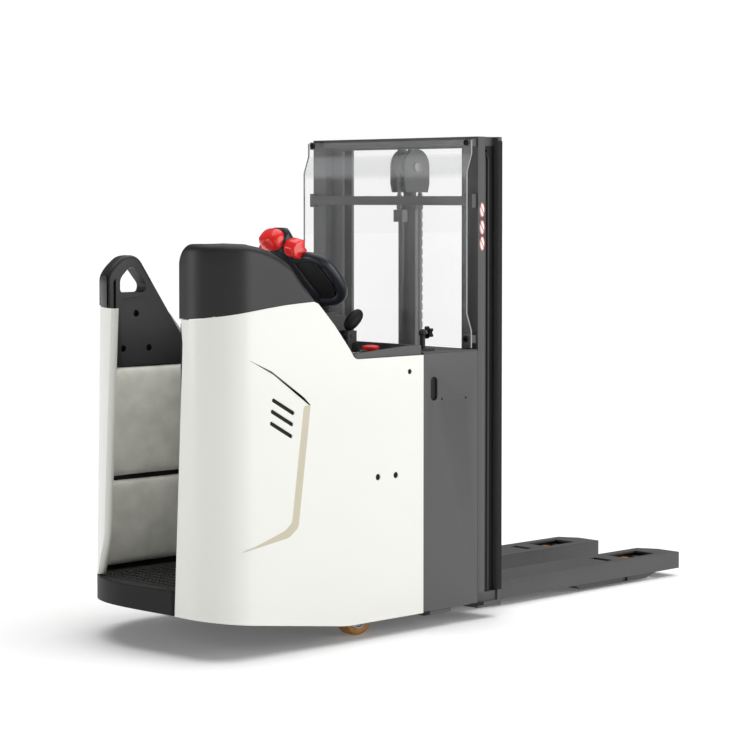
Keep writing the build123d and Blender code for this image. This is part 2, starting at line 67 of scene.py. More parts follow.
# ---- studio -------------------------------------------------------------------------------
# A white sweep floor under broad soft boxes, as for a machine portrait. The camera stands
# behind the truck's right rear corner, at the height of a person's chest.
HEADING = math.radians(46.4)
PITCH = math.radians(2.18)
lens = bpy.data.cameras.new("camera")
lens.lens = 111.0
lens.sensor_width = 36.0
lens.shift_y = -0.12
lens.clip_end = 200.0
camera = bpy.data.objects.new("camera", lens)
scene.collection.objects.link(camera)
camera.location = (-5.5853, -5.7420, 1.416)
camera.rotation_euler = (math.pi / 2 - PITCH, 0, HEADING - math.pi / 2)
scene.camera = camera
scene.view_settings.view_transform = "Standard"

world = bpy.data.worlds.new("studio")
scene.world = world
world.use_nodes = True
sky = world.node_tree
seen = sky.nodes.new("ShaderNodeLightPath")
fill = sky.nodes["Background"]
fill.inputs["Color"].default_value = (1.0, 1.0, 1.0, 1)
fill.inputs["Strength"].default_value = 0.20
paper = sky.nodes.new("ShaderNodeBackground")
paper.inputs["Color"].default_value = (1.0, 1.0, 1.0, 1)
paper.inputs["Strength"].default_value = 1.0
either = sky.nodes.new("ShaderNodeMixShader")
sky.links.new(seen.outputs["Is Camera Ray"], either.inputs[0])
sky.links.new(fill.outputs[0], either.inputs[1])
sky.links.new(paper.outputs[0], either.inputs[2])
sky.links.new(either.outputs[0], sky.nodes["World Output"].inputs["Surface"])


def soft_box(name, place, aim, width, height, watts):
    """A rectangular lamp at place, turned to face aim."""
    lamp = bpy.data.lights.new(name, "AREA")
    lamp.shape = "RECTANGLE"
    lamp.size = width
    lamp.size_y = height
    lamp.energy = watts
    lamp_obj = bpy.data.objects.new(name, lamp)
    scene.collection.objects.link(lamp_obj)
    lamp_obj.location = place
    way = np.array(aim, float) - np.array(place, float)
    flat = math.hypot(way[0], way[1])
    lamp_obj.rotation_euler = (math.atan2(flat, -way[2]), 0, math.atan2(-way[0], way[1]))


ceiling = bpy.data.lights.new("ceiling", "SUN")
ceiling.angle = math.radians(80)
ceiling.energy = 2.75
ceiling_obj = bpy.data.objects.new("ceiling", ceiling)
scene.collection.objects.link(ceiling_obj)
ceiling_obj.rotation_euler = (math.radians(3), math.radians(15), 0)
soft_box("right_side", (2.9, -5.6, 1.9), (0.0, 0.0, 0.7), 4.0, 3.2, 150)
soft_box("behind", (-6.3, 2.9, 1.9), (0.0, 0.0, 0.8), 2.2, 3.0, 80)

floor_points = [(-40, -40, 0), (60, -40, 0), (60, 60, 0), (-40, 60, 0)]
floor_mesh = bpy.data.meshes.new("floor")
floor_mesh.from_pydata(floor_points, [], [(0, 1, 2, 3)])
floor = bpy.data.objects.new("floor", floor_mesh)
scene.collection.objects.link(floor)
paint = bpy.data.materials.new("pale_floor")
paint.use_nodes = True
sheet = paint.node_tree.nodes["Principled BSDF"]
sheet.inputs["Base Color"].default_value = (0.93, 0.93, 0.93, 1)
sheet.inputs["Roughness"].default_value = 0.9
sheet.inputs["Specular IOR Level"].default_value = 0.1
sheet.inputs["Emission Color"].default_value = (1, 1, 1, 1)
sheet.inputs["Emission Strength"].default_value = 0.10
floor_mesh.materials.append(paint)

# ---- right body shell ----------------------------------------------------------------------
# The tall moulded cover on the side away from the mast's guard rail: one off-white vacuum
# formed skin 4 mm thick with a flat side, a 147 mm corner and a short rear face with a lip.
MM = 0.001
DEPART = 0.1327
X_KINK = -629.5
X_FRONT = -289.5
SIDE_Y = -410.0
CORNER_R = 147.0
CORNER_X = -1015.0
REAR_X = CORNER_X - CORNER_R
CORNER_Y = SIDE_Y + CORNER_R
SIDES = (("right", -1), ("left", 1))
AXES = {"x": [2, 0, 1], "y": [0, 2, 1], "z": [0, 1, 2]}


def grid_faces(rows, cols, wrap_rows=False, wrap_cols=False):
    """Quads between neighbouring points of a rows by cols grid, joined round where asked."""
    r = np.arange(rows if wrap_rows else rows - 1)
    c = np.arange(cols if wrap_cols else cols - 1)
    i, j = np.meshgrid(r, c, indexing="ij")
    i2 = (i + 1) % rows
    j2 = (j + 1) % cols
    quads = np.stack([i * cols + j, i2 * cols + j, i2 * cols + j2, i * cols + j2], -1)
    return quads.reshape(-1, 4).tolist()


def tube_faces(rows, cols):
    """Quads round a tube of rings, with one flat face over each end."""
    last = (rows - 1) * cols
    ends = [list(range(cols))[::-1], list(range(last, last + cols))]
    return grid_faces(rows, cols, wrap_cols=True) + ends


def faces_out(mesh, merge=0.0):
    """Joins points closer than merge metres and turns every face outward."""
    work = bmesh.new()
    work.from_mesh(mesh)
    if merge:
        bmesh.ops.remove_doubles(work, verts=work.verts, dist=merge)
    bmesh.ops.recalc_face_normals(work, faces=work.faces)
    work.to_mesh(mesh)
    work.free()


def edges_round(piece, width, segments, crease):
    """Rounds every edge sharper than crease degrees by width millimetres."""
    ease = piece.modifiers.new("ease", "BEVEL")
    ease.width = width * MM
    ease.segments = segments
    ease.limit_method = "ANGLE"
    ease.angle_limit = math.radians(crease)
    return ease


def solid(name, points, faces, look, body="chassis", slot="black_plastic", stands_for=(), ease=0.0,
          wall=0.0, crease=32.0, outward=True):
    """One finished piece. Points are millimetres; the mesh is metres. wall thickens an open
    sheet inward, ease rounds every edge sharper than crease degrees."""
    mesh = bpy.data.meshes.new(name)
    mesh.from_pydata((np.asarray(points, float).reshape(-1, 3) * MM).tolist(), [], faces)
    if outward:
        faces_out(mesh, 0.00002)
    mesh.shade_smooth()
    if not ease:
        mesh.set_sharp_from_angle(angle=math.radians(crease))
    piece = bpy.data.objects.new(name, mesh)
    scene.collection.objects.link(piece)
    mesh.materials.append(look)
    if wall:
        skin = piece.modifiers.new("wall", "SOLIDIFY")
        skin.thickness = wall * MM
        skin.offset = -1.0
    if ease:
        edges_round(piece, ease, 3, crease).harden_normals = True
    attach(piece, body)
    if stands_for:
        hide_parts(*stands_for)
    return piece


def finish(name, colour, roughness, metal=0.0, grain=900.0, bump=0.1, mottle=0.06,
           cloud=6.0, coat=0.0, worn=0.0, gloss_level=0.5, sheen=0.0):
    """A surface finish: slow colour clouding, fine grain in the bump, patchy roughness and,
    where asked, pale wear on the raised edges."""
    mat = bpy.data.materials.new(name)
    mat.use_nodes = True
    tree = mat.node_tree
    node = tree.nodes["Principled BSDF"]
    where = tree.nodes.new("ShaderNodeTexCoord")
    clouds = tree.nodes.new("ShaderNodeTexNoise")
    clouds.inputs["Scale"].default_value = cloud
    clouds.inputs["Detail"].default_value = 6.0
    tree.links.new(where.outputs["Object"], clouds.inputs["Vector"])
    tint = tree.nodes.new("ShaderNodeValToRGB")
    low = [min(1.0, c * (1 - mottle)) for c in colour]
    high = [min(1.0, c * (1 + mottle)) for c in colour]
    tint.color_ramp.elements[0].position = 0.3
    tint.color_ramp.elements[1].position = 0.7
    tint.color_ramp.elements[0].color = (*low, 1)
    tint.color_ramp.elements[1].color = (*high, 1)
    tree.links.new(clouds.outputs["Fac"], tint.inputs["Fac"])
    shade = tint.outputs["Color"]
    if worn:
        form = tree.nodes.new("ShaderNodeNewGeometry")
        edge = tree.nodes.new("ShaderNodeMapRange")
        edge.inputs["From Min"].default_value = 0.53
        edge.inputs["From Max"].default_value = 0.62
        edge.inputs["To Max"].default_value = worn
        tree.links.new(form.outputs["Pointiness"], edge.inputs["Value"])
        mix = tree.nodes.new("ShaderNodeMixRGB")
        mix.inputs["Color2"].default_value = (*[min(1.0, c * 2.2 + 0.03) for c in colour], 1)
        tree.links.new(edge.outputs["Result"], mix.inputs["Fac"])
        tree.links.new(shade, mix.inputs["Color1"])
        shade = mix.outputs["Color"]
    tree.links.new(shade, node.inputs["Base Color"])
    patch = tree.nodes.new("ShaderNodeMapRange")
    patch.inputs["To Min"].default_value = max(0.02, roughness - 0.05)
    patch.inputs["To Max"].default_value = min(1.0, roughness + 0.07)
    tree.links.new(clouds.outputs["Fac"], patch.inputs["Value"])
    tree.links.new(patch.outputs["Result"], node.inputs["Roughness"])
    fine = tree.nodes.new("ShaderNodeTexNoise")
    fine.inputs["Scale"].default_value = grain
    fine.inputs["Detail"].default_value = 3.0
    tree.links.new(where.outputs["Object"], fine.inputs["Vector"])
    press = tree.nodes.new("ShaderNodeBump")
    press.inputs["Strength"].default_value = bump
    press.inputs["Distance"].default_value = 0.0006
    tree.links.new(fine.outputs["Fac"], press.inputs["Height"])
    tree.links.new(press.outputs["Normal"], node.inputs["Normal"])
    node.inputs["Metallic"].default_value = metal
    node.inputs["Specular IOR Level"].default_value = gloss_level if metal else gloss_level * 0.6
    node.inputs["Coat Weight"].default_value = coat
    node.inputs["Coat Roughness"].default_value = 0.12
    node.inputs["Sheen Weight"].default_value = sheen
    return mat


def sill(x):
    """Height of the body's lower edge: level, then rising to the rear at the departure angle."""
    return 57.0 + np.maximum(0.0, X_KINK - x) * DEPART


SEAM_X = [-1185, -1162, -1140, -1088, -1033, -962, -889, -828, -768, -752, -738, -680, -616,
          -601, -592, -581, -289]
SEAM_Z = [1042, 1043, 1051, 1059, 1067, 1075.5, 1083, 1087, 1090, 1084, 1071, 1011, 934,
          912, 904.5, 902, 902]
LIP_Z = [130, 966, 1066]
LIP_Y = [-197, -240.5, -229]
white_shell = finish("off_white_moulding", (0.80, 0.80, 0.755), 0.32, bump=0.02,
                     mottle=0.008, cloud=2.0, coat=0.25, gloss_level=0.4)


def right_shell_points():
    """Plan path (side, corner arc, rear flat, lip arc, return) by height fraction: each point
    stands on the path at that share of the way from the sill to the seam above it."""
    keys = [x for x in SEAM_X if CORNER_X < x < X_FRONT]
    run = np.unique(np.r_[np.linspace(CORNER_X, X_FRONT, 30), keys])[::-1]
    turn = np.linspace(0, math.pi / 2, 22)[1:]
    px = np.r_[run, CORNER_X - CORNER_R * np.sin(turn)]
    py = np.r_[np.full(run.size, SIDE_Y), CORNER_Y - CORNER_R * np.cos(turn)]
    share = np.linspace(0, 1, 26)[:, None]
    low = sill(px)[None, :]
    top = np.interp(px, SEAM_X, SEAM_Z)[None, :]
    z = low + share * (top - low)
    x = np.broadcast_to(px, z.shape)
    y = np.broadcast_to(py, z.shape)
    z_rear = z[:, -1:]
    lip = np.interp(z_rear, LIP_Z, LIP_Y)
    across = np.linspace(0, 1, 6)[None, 1:]
    r = 11.0
    y_flat = CORNER_Y + across * (lip - r - CORNER_Y)
    bend = np.linspace(0, math.pi / 2, 6)[None, 1:]
    x_bend = REAR_X + r * (1 - np.cos(bend)) + 0 * lip
    y_bend = lip - r + r * np.sin(bend)
    back = np.linspace(0, 1, 4)[None, 1:] * 24.0
    x_all = np.hstack([x, REAR_X + 0 * y_flat, x_bend, REAR_X + r + back + 0 * lip])
    y_all = np.hstack([y, y_flat, y_bend, lip + 0 * back])
    z_all = np.hstack([z, np.repeat(z_rear, 13, axis=1)])
    return np.stack([x_all, y_all, z_all], -1)


def joined(shapes):
    """Several shapes, each (points, faces), as one."""
    points, faces, total = [], [], 0
    for p, f in shapes:
        points.append(p)
        faces += [[i + total for i in face] for face in f]
        total += len(p)
    return np.concatenate(points), faces


def bored(piece, cutters):
    """Cuts closed tool shapes, each (points, faces), out of a piece before its edges are eased."""
    points, faces = joined(cutters)
    mesh = bpy.data.meshes.new(piece.name + "_tool")
    mesh.from_pydata((points * MM).tolist(), [], faces)
    faces_out(mesh)
    tool = bpy.data.objects.new(piece.name + "_tool", mesh)
    scene.collection.objects.link(tool)
    cut = piece.modifiers.new("cut", "BOOLEAN")
    cut.operation = "DIFFERENCE"
    cut.solver = "EXACT"
    cut.object = tool
    names = [m.name for m in piece.modifiers]
    piece.modifiers.move(len(names) - 1, names.index("ease"))
    ease = piece.modifiers["ease"]
    ease.show_viewport = False
    bpy.context.view_layer.update()
    shown = bpy.context.evaluated_depsgraph_get()
    made = bpy.data.meshes.new_from_object(piece.evaluated_get(shown))
    made.name = piece.name
    for m in list(piece.modifiers):
        if m.name != "ease":
            piece.modifiers.remove(m)
    piece.data = made
    ease.show_viewport = True
    bpy.data.objects.remove(tool)


def rounded(points, radius, steps=5):
    """A polygon with each corner turned into a curve that leaves and meets its sides
    radius away from the corner, or at 0.45 of a shorter side."""
    pts = np.asarray(points, float)
    before = np.roll(pts, 1, 0) - pts
    after = np.roll(pts, -1, 0) - pts
    reach = np.broadcast_to(np.asarray(radius, float), (len(pts),))
    lb = np.linalg.norm(before, axis=1)
    la = np.linalg.norm(after, axis=1)
    cut = np.minimum(reach, 0.45 * np.minimum(lb, la))[:, None]
    a = pts + before / lb[:, None] * cut
    b = pts + after / la[:, None] * cut
    t = np.linspace(0, 1, steps + 1)[None, :, None]
    curve = (1 - t) ** 2 * a[:, None] + 2 * t * (1 - t) * pts[:, None] + t ** 2 * b[:, None]
    return curve.reshape(-1, 2)


def oblong(x0, x1, z0, z1, radius):
    """A rectangle with rounded corners."""
    return rounded([(x0, z0), (x1, z0), (x1, z1), (x0, z1)], radius)


def inset(outline, amount):
    """The outline moved inward: each point goes along the mean of its two side normals."""
    after = np.roll(outline, -1, 0)
    ahead = after - outline
    area = 0.5 * np.sum(outline[:, 0] * after[:, 1] - outline[:, 1] * after[:, 0])
    n = np.stack([-ahead[:, 1], ahead[:, 0]], -1) * np.sign(area)
    n /= np.maximum(np.linalg.norm(n, axis=1, keepdims=True), 1e-9)
    mean = n + np.roll(n, 1, 0)
    mean /= np.maximum(np.linalg.norm(mean, axis=1, keepdims=True), 1e-9)
    stretch = 1 / np.maximum(0.5, np.sum(mean * n, axis=1, keepdims=True))
    return outline + mean * amount * stretch


def slab(outline, low, high, axis, edge=0.0, steps=3):
    """A flat outline carried between two levels along an axis, both rims rounded by edge:
    inset edge(1 - sin a) at depth edge(1 - cos a) for a quarter turn."""
    low, high = sorted((low, high))
    a = np.linspace(0, math.pi / 2, steps + 1) if edge else np.array([math.pi / 2])
    rings, levels = [], []
    for angle in a:
        rings.append(inset(outline, edge * (1 - math.sin(angle))))
        levels.append(low + edge * (1 - math.cos(angle)))
    for angle in a[::-1]:
        rings.append(inset(outline, edge * (1 - math.sin(angle))))
        levels.append(high - edge * (1 - math.cos(angle)))
    flat = np.array(rings)
    level = np.broadcast_to(np.array(levels)[:, None, None], flat.shape[:2] + (1,))
    both = np.concatenate([flat, level], -1)
    return both[..., AXES[axis]].reshape(-1, 3), tube_faces(*flat.shape[:2])


def circle(cx, cy, r, steps=28):
    """Points round a circle in the drawing plane."""
    t = np.linspace(0, 2 * math.pi, steps, endpoint=False)
    return np.stack([cx + r * np.cos(t), cy + r * np.sin(t)], -1)


def stadium(cx, cy, length, width, tilt):
    """A slot outline with round ends, turned by tilt."""
    t = np.linspace(-math.pi / 2, math.pi / 2, 9)
    r = width / 2
    half = length / 2 - r
    right = np.stack([half + r * np.cos(t), r * np.sin(t)], -1)
    loop = np.r_[right, -right]
    c, s = math.cos(tilt), math.sin(tilt)
    return loop @ np.array([[c, s], [-s, c]]) + [cx, cy]


shell_grid = right_shell_points()
right_shell = solid("right_shell_skin", shell_grid, grid_faces(*shell_grid.shape[:2]), white_shell,
                    slot="white_shell", stands_for=["right_shell"], ease=1.6, wall=4.0, outward=False)
VENT_TILT = math.radians(-29)
VENTS = [(-897, 771), (-902, 736.5), (-905.5, 700)]
HOLES = (("upper", -352, 851, 9.0), ("rear", -494, 520, 10.5), ("front", -415, 520, 10.5))
vent_tools = [slab(stadium(x, z, 104, 13, VENT_TILT), -430, -398, "y") for x, z in VENTS]
hole_tools = [slab(circle(x, z, r), -430, -395, "y") for label, x, z, r in HOLES]
bored(right_shell, vent_tools + hole_tools)
black = finish("black_moulding", (0.008, 0.008, 0.008), 0.5, grain=700, bump=0.12, mottle=0.15,
               gloss_level=0.3)
vent_back = oblong(-970, -838, 655, 820, 20)
solid("vent_back_plate", *slab(vent_back, -405.4, -403, "y"), black)
for label, x, z, r in HOLES:
    solid(f"hole_cup_{label}", *slab(circle(x, z, 16), -404.9, -400, "y", 1.0), black)

# ---- painted recess shading ----------------------------------------------------------------
# Thin strips flush with the side paint the walls of a wedge-shaped recess: a dark wedge pointing to
# the rear is painted shade on the down-facing wall, and a sand band turning down below the vents is painted
# shading on the rear-facing wall.
shade_look_dark = finish("dark_foil", (0.045, 0.045, 0.042), 0.35, grain=1200, bump=0.02, mottle=0.05)
shade_look_sand = finish("sand_foil", (0.56, 0.52, 0.40), 0.35, grain=1200, bump=0.02, mottle=0.03)
WEDGE = [(-1033, 920), (-938, 872), (-812, 795), (-784, 769), (-791, 769), (-822, 802), (-944, 882)]
BAND = [(-784, 769), (-835, 392), (-873, 364), (-1064, 336), (-976, 360), (-888, 388), (-861, 410),
        (-812, 769)]
# The dark wedge is painted shade and the sand band is painted shading, standing in for recess walls.
for name, shape, painted_look, turn in (("accent_wedge", WEDGE, shade_look_dark, 3),
                                ("accent_band", BAND, shade_look_sand, 10)):
    outline = rounded(shape, turn, 4)
    solid(name, *slab(outline, -410.35, -409.2, "y"), painted_look, slot="white_shell")

# ---- left body shell -----------------------------------------------------------------------
# The far cover: the same off-white skin swept round a 376 mm corner, leaning in a little
# towards its top, with its inner lip folded forward beside the entry.
FAR_R = 376.0
FAR_X = -809.0
FAR_Y = 34.0
FAR_SILL = 206.0
FAR_TOP = 1064.0
LEAN = 27.0
LEAN_RISE = 860.0
FAR_LIP_Z = [206, 330, 560, 1066]
FAR_LIP_Y = [221, 150, 145, 130]
FAR_TOP_X = [-1185, -1162, -1088, -1033] + SEAM_X[5:]
FAR_TOP_Z = [1063, 1063, 1066, 1070] + SEAM_Z[5:]


def far_place(angle, z, inward=0.0):
    """A point on the far corner: the arc at this angle from +Y, with the lean of its height."""
    lean = LEAN * np.clip((z - FAR_SILL) / LEAN_RISE, 0, 1) * np.sin(angle) ** 2
    x = FAR_X - (FAR_R - inward) * np.sin(angle) + lean
    return x, FAR_Y + (FAR_R - inward) * np.cos(angle)


def left_shell_points():
    """Side run, then the arc up to the lip whose place depends on height, then a rolled edge."""
    keys = [x for x in FAR_TOP_X if FAR_X < x < X_FRONT]
    run = np.unique(np.r_[np.linspace(FAR_X, X_FRONT, 22), keys, -760.0, -759.0])[::-1]
    share = np.linspace(0, 1, 26)[:, None]
    low = np.where(run < -759.5, FAR_SILL, sill(run))[None, :]
    top = np.interp(run, FAR_TOP_X, FAR_TOP_Z)[None, :]
    z = low + share * (top - low)
    x = np.broadcast_to(run, z.shape)
    y = np.full(z.shape, -SIDE_Y)
    z_arc = FAR_SILL + share * (FAR_TOP - FAR_SILL)
    last = np.arccos((np.interp(z_arc, FAR_LIP_Z, FAR_LIP_Y) - FAR_Y) / FAR_R)
    angle = last * np.linspace(0, 1, 28)[None, 1:]
    seam = np.interp(FAR_X - FAR_R * np.sin(angle), FAR_TOP_X, FAR_TOP_Z)
    z_arc = z_arc + seam * share - FAR_TOP * share
    xa, ya = far_place(angle, z_arc)
    roll = np.linspace(0.12, 1, 5)[None, :]
    z_roll = np.repeat(z_arc[:, -1:], 5, axis=1)
    xr, yr = far_place(last, z_roll, 26.0 * roll)
    yr = yr - 7.0 * np.sin(roll * math.pi)
    columns = ([x, xa, xr], [y, ya, yr], [z, z_arc, z_roll])
    return np.stack([np.hstack(parts) for parts in columns], -1)


far_grid = left_shell_points()
solid("left_shell_skin", far_grid[:, ::-1], grid_faces(*far_grid.shape[:2]), white_shell,
      slot="white_shell", stands_for=["left_shell"], ease=1.6, wall=4.0, outward=False)

# ---- right cap -----------------------------------------------------------------------------
# The padded-looking black crown over the backrest wall: one hollow moulding in fine-textured
# black plastic, rounded along both upper edges and let down over the rear end.
cap_black = finish("textured_black", (0.022, 0.022, 0.023), 0.36, grain=1100, bump=0.10,
                   mottle=0.06, gloss_level=0.45)
CROWN_X = [-1200, -1110, -1034, -979, -918, -861, -820, -790, -766]
CROWN_Z = [1272, 1275, 1273, 1263, 1241, 1210, 1163, 1128, 1092.5]


def crown_points():
    """An arch-shaped cross-section carried along the wall and round the corner. Its outer foot
    follows the shell, its inner foot the liner, and its top follows the crown line."""
    run = np.linspace(-767, CORNER_X, 30)
    turn = np.linspace(0, math.pi / 2, 18)[1:]
    outer = np.stack([np.r_[run, CORNER_X - 146 * np.sin(turn)],
                      np.r_[np.full(30, -409.0), CORNER_Y - 146 * np.cos(turn)]], -1)
    inner_r = np.interp(turn, [0, math.pi / 2], [37, 72])
    inner = np.stack([np.r_[run, CORNER_X - inner_r * np.sin(turn)],
                      np.r_[np.full(30, -300.0), CORNER_Y - inner_r * np.cos(turn)]], -1)
    tail = np.linspace(0, 1, 10)[1:, None] * [0.0, 33.0]
    outer = np.r_[outer, outer[-1] + tail]
    inner = np.r_[inner, inner[-1] + tail]
    foot = np.interp(outer[:, 0], SEAM_X, SEAM_Z) + 1.5
    top = np.interp(outer[:, 0], CROWN_X, CROWN_Z)
    into = np.clip((outer[:, 1] + 263.0) / 33.0, 0, 1) * (outer[:, 0] < -1100)
    top = top - 46.0 * (1 - np.sqrt(1 - 0.92 * into ** 2))
    a = np.linspace(0, math.pi / 2, 7)
    width = np.linalg.norm(inner - outer, axis=1)
    r = np.minimum(26.0, (top - foot) * 0.45)[:, None]
    q_round = r * (1 - np.cos(a)) / width[:, None]
    up = np.linspace(0, 1, 6)[None, :-1]
    n = len(outer)
    q = np.hstack([np.zeros((n, 5)), q_round, 0.5 * np.ones((n, 1)), 1 - q_round[:, ::-1], np.ones((n, 5))])
    z_side = foot[:, None] + up * (top[:, None] - r - foot[:, None])
    z_round = top[:, None] - r + r * np.sin(a)
    z = np.hstack([z_side, z_round, top[:, None], z_round[:, ::-1], z_side[:, ::-1]])
    plan = outer[:, None, :] + q[..., None] * (inner - outer)[:, None, :]
    return np.concatenate([plan, z[..., None]], -1)


crown = crown_points()
solid("right_crown", crown, tube_faces(*crown.shape[:2]), cap_black, stands_for=["right_cap"],
      ease=3.0, crease=50)
seam_x = np.linspace(-1080, -768, 14)
seam = np.stack([seam_x, np.interp(seam_x, SEAM_X, SEAM_Z) + 9], -1)
under_crown = np.r_[seam, [[-752, 1058], [-748, 1010], [-1080, 1010]]]
solid("right_wall_top_filler", *slab(under_crown, -390, -301.5, "y", 1.0), cap_black, crease=40)

# ---- left grip moulding --------------------------------------------------------------------
# The black side panel that the driver holds: a thick moulding with a hand hole, a rounded top
# rail, a raised rear rib and three screws sunk in its flat panel.
GRIP_RIM = [(-1041, 862), (-1041, 1158), (-1019, 1188), (-975, 1223), (-930, 1226), (-903, 1212),
            (-743, 980), (-700, 925), (-648, 911), (-648, 862)]
HAND_HOLE = [(-988, 1103), (-988, 1150), (-946, 1190), (-927, 1184), (-880, 1128), (-886, 1103)]
PANEL = [(-984, 850), (-984, 1084), (-896, 1088), (-866, 1122), (-846, 1175), (-600, 1175), (-600, 850)]
RIB_GROOVE = [(-1015, 868), (-1015, 1140), (-1006, 1150), (-1006, 868)]
grip_black = finish("grip_black", (0.022, 0.022, 0.023), 0.38, mottle=0.10)
grip_outline = rounded(GRIP_RIM, [18, 30, 30, 30, 32, 34, 60, 34, 18, 18], 6)
grip = solid("left_grip_moulding", *slab(grip_outline, 291, 341, "y", 12, 5), grip_black,
             stands_for=["left_grip"], ease=3.5, crease=40)
screws = [(-917, 1034), (-971, 920), (-865, 919)]
hand_hole = slab(rounded(HAND_HOLE, 16, 6), 270, 360, "y")
sunk_panel = slab(rounded(PANEL, 12), 270, 298, "y")
groove = slab(np.array(RIB_GROOVE, float), 270, 300, "y")
screw_holes = [slab(circle(x, z, 11), 270, 314, "y") for x, z in screws]


def far_tool(level, inward, low, high):
    """A tool over all that lies outside the far corner: its arc at one level, moved inward."""
    angle = np.linspace(0.0, math.acos((250 - FAR_Y) / FAR_R), 30)
    x, y = far_place(angle, np.full(30, level), inward)
    corners = [[x[-1] - 60, y[-1]], [-1240, 250], [-1240, 480], [x[0], 480]]
    return slab(np.r_[np.stack([x, y], -1), corners], low, high, "z")


for tools in ([hand_hole], [sunk_panel], [groove] + screw_holes, [far_tool(FAR_TOP, 7.0, 800, 1063)]):
    bored(grip, tools)
bright_zinc = finish("bright_zinc", (0.36, 0.36, 0.37), 0.34, metal=1.0, grain=500, bump=0.08, mottle=0.1)


def turned(profile, centre, axis, steps=36):
    """A lathe shape: a closed profile of (radius, distance along the axis) turned about it."""
    prof = np.asarray(profile, float)
    t = np.linspace(0, 2 * math.pi, steps, endpoint=False)
    ring = np.stack([prof[:, None, 0] * np.cos(t), prof[:, None, 0] * np.sin(t),
                     np.broadcast_to(prof[:, None, 1], (len(prof), steps))], -1)
    points = ring[..., AXES[axis]] + np.asarray(centre, float)
    closed = prof[0, 0] > 0.01
    return points.reshape(-1, 3), grid_faces(len(prof), steps, wrap_rows=closed, wrap_cols=True)


def screw_head(name, centre, axis, radius, out, look=black, body="chassis", slot="black_metal"):
    """A domed screw head with a sunk socket. out is the way its dome faces along the axis."""
    h = radius * 0.55 * out
    profile = [(0.001, -h * 0.2), (radius * 0.35, -h * 0.2), (radius * 0.40, h * 0.82),
               (radius * 0.62, h * 0.8), (radius * 0.86, h * 0.55), (radius, h * 0.1),
               (radius, -h * 0.6), (0.001, -h * 0.6)]
    return solid(name, *turned(profile, centre, axis, 24), look, body, slot, crease=40)


for k, (x, z) in enumerate(screws):
    screw_head(f"grip_screw_{k + 1}", (x, 311, z), "y", 8, -1)

lip_angle = math.acos((168 - FAR_Y) / FAR_R)
end_angle = math.acos((337 - FAR_Y) / FAR_R)
sweep_angle = np.linspace(end_angle, lip_angle, 16)
wrap_low, wrap_high = 1063.0, 1160.0
levels = np.r_[wrap_low, wrap_low + 1, wrap_high - np.array([24, 12, 5, 1.5, 0.0])]
draw_in = np.array([0.0, 0.0, 0.0, 3.0, 7.0, 12.0, 18.0])
rows = []
for level, pull in zip(levels, draw_in):
    wx, wy = far_place(sweep_angle, np.full(16, level), 0.8)
    outer = np.stack([wx, wy, np.full(16, level)], -1)
    heart = np.array([-1036.0, 306.0, level])
    back = np.array([[-1034, 318, level], [-1026, 300, level], [-1040, 288, level]], float)
    loop = np.r_[outer, back]
    away = loop - heart
    length = np.linalg.norm(away, axis=1, keepdims=True) + 1e-9
    rows.append(heart + away * np.maximum(0.15, 1 - pull / np.maximum(length, 18)))
rows = np.array(rows)
solid("left_grip_rear_wrap", rows, tube_faces(*rows.shape[:2]), grip_black, crease=50)

# ---- pads ----------------------------------------------------------------------------------
# Grey knee and back pads: foam under a pebbled cloth, stapled over a board, so each is crowned
# and its sides pull in between the corners.


def pebbled_cloth():
    """Cloth with a fine random pebble in its height and a cloudy, slightly warm grey."""
    mat = finish("pebbled_cloth", (0.85, 0.85, 0.77), 0.9, grain=520, bump=0.5, mottle=0.10,
                 cloud=14.0, gloss_level=0.2, sheen=0.25)
    tree = mat.node_tree
    node = tree.nodes["Principled BSDF"]
    where = tree.nodes.new("ShaderNodeTexCoord")
    cells = tree.nodes.new("ShaderNodeTexVoronoi")
    cells.inputs["Scale"].default_value = 420.0
    tree.links.new(where.outputs["Object"], cells.inputs["Vector"])
    press = tree.nodes.new("ShaderNodeBump")
    press.inputs["Strength"].default_value = 0.6
    press.inputs["Distance"].default_value = 0.001
    tree.links.new(cells.outputs["Distance"], press.inputs["Height"])
    old = node.inputs["Normal"].links[0].from_socket
    tree.links.new(old, press.inputs["Normal"])
    tree.links.new(press.outputs["Normal"], node.inputs["Normal"])
    return mat


cloth = pebbled_cloth()


def pad(name, node, x0, x1, z0, z1, y_back, depth, out, crown=5.0):
    """Two grids over the pad's face. The front stands out by depth times a flat-topped bump
    that falls to nothing at the rim, plus a low crown; the back is flat; the rim pulls in."""
    u, v = np.meshgrid(np.linspace(-1, 1, 64), np.linspace(-1, 1, 64), indexing="ij")
    bow = 1 - 0.012 * (1 - v ** 2)
    bow_z = 1 - 0.012 * (1 - u ** 2)
    x = (x0 + x1) / 2 + (x1 - x0) / 2 * u * bow
    z = (z0 + z1) / 2 + (z1 - z0) / 2 * v * bow_z
    rise = ((1 - np.abs(u) ** 14) * (1 - np.abs(v) ** 14)) ** 0.45
    ripple = 0.5 * np.sin(5.1 * u + 1.3) * np.sin(4.3 * v + 0.4) * (1 - u ** 2) * (1 - v ** 2)
    height = depth * rise + (crown * (1 - u ** 2) * (1 - v ** 2) + ripple)
    front = np.stack([x, y_back + out * height, z], -1)
    back = np.stack([x, np.full_like(x, y_back), z], -1)
    faces = grid_faces(64, 64)
    offset = 64 * 64
    faces += [[i + offset for i in f][::-1] for f in faces]
    piece = solid(name, np.r_[front.reshape(-1, 3), back.reshape(-1, 3)], faces, cloth, "chassis",
                  "grey_pad", [node], crease=70)
    return piece


pad("upper_knee_pad_cloth", "upper_knee_pad", -1048, -652, 503, 860, 305.0, 18, -1)
pad("lower_knee_pad_cloth", "lower_knee_pad", -1048, -652, 212, 490, 305.0, 18, -1)
pad("backrest_pad_cloth", "backrest_pad", -1070, -700, 226, 1000, -299.7, 28, 1, 8.0)


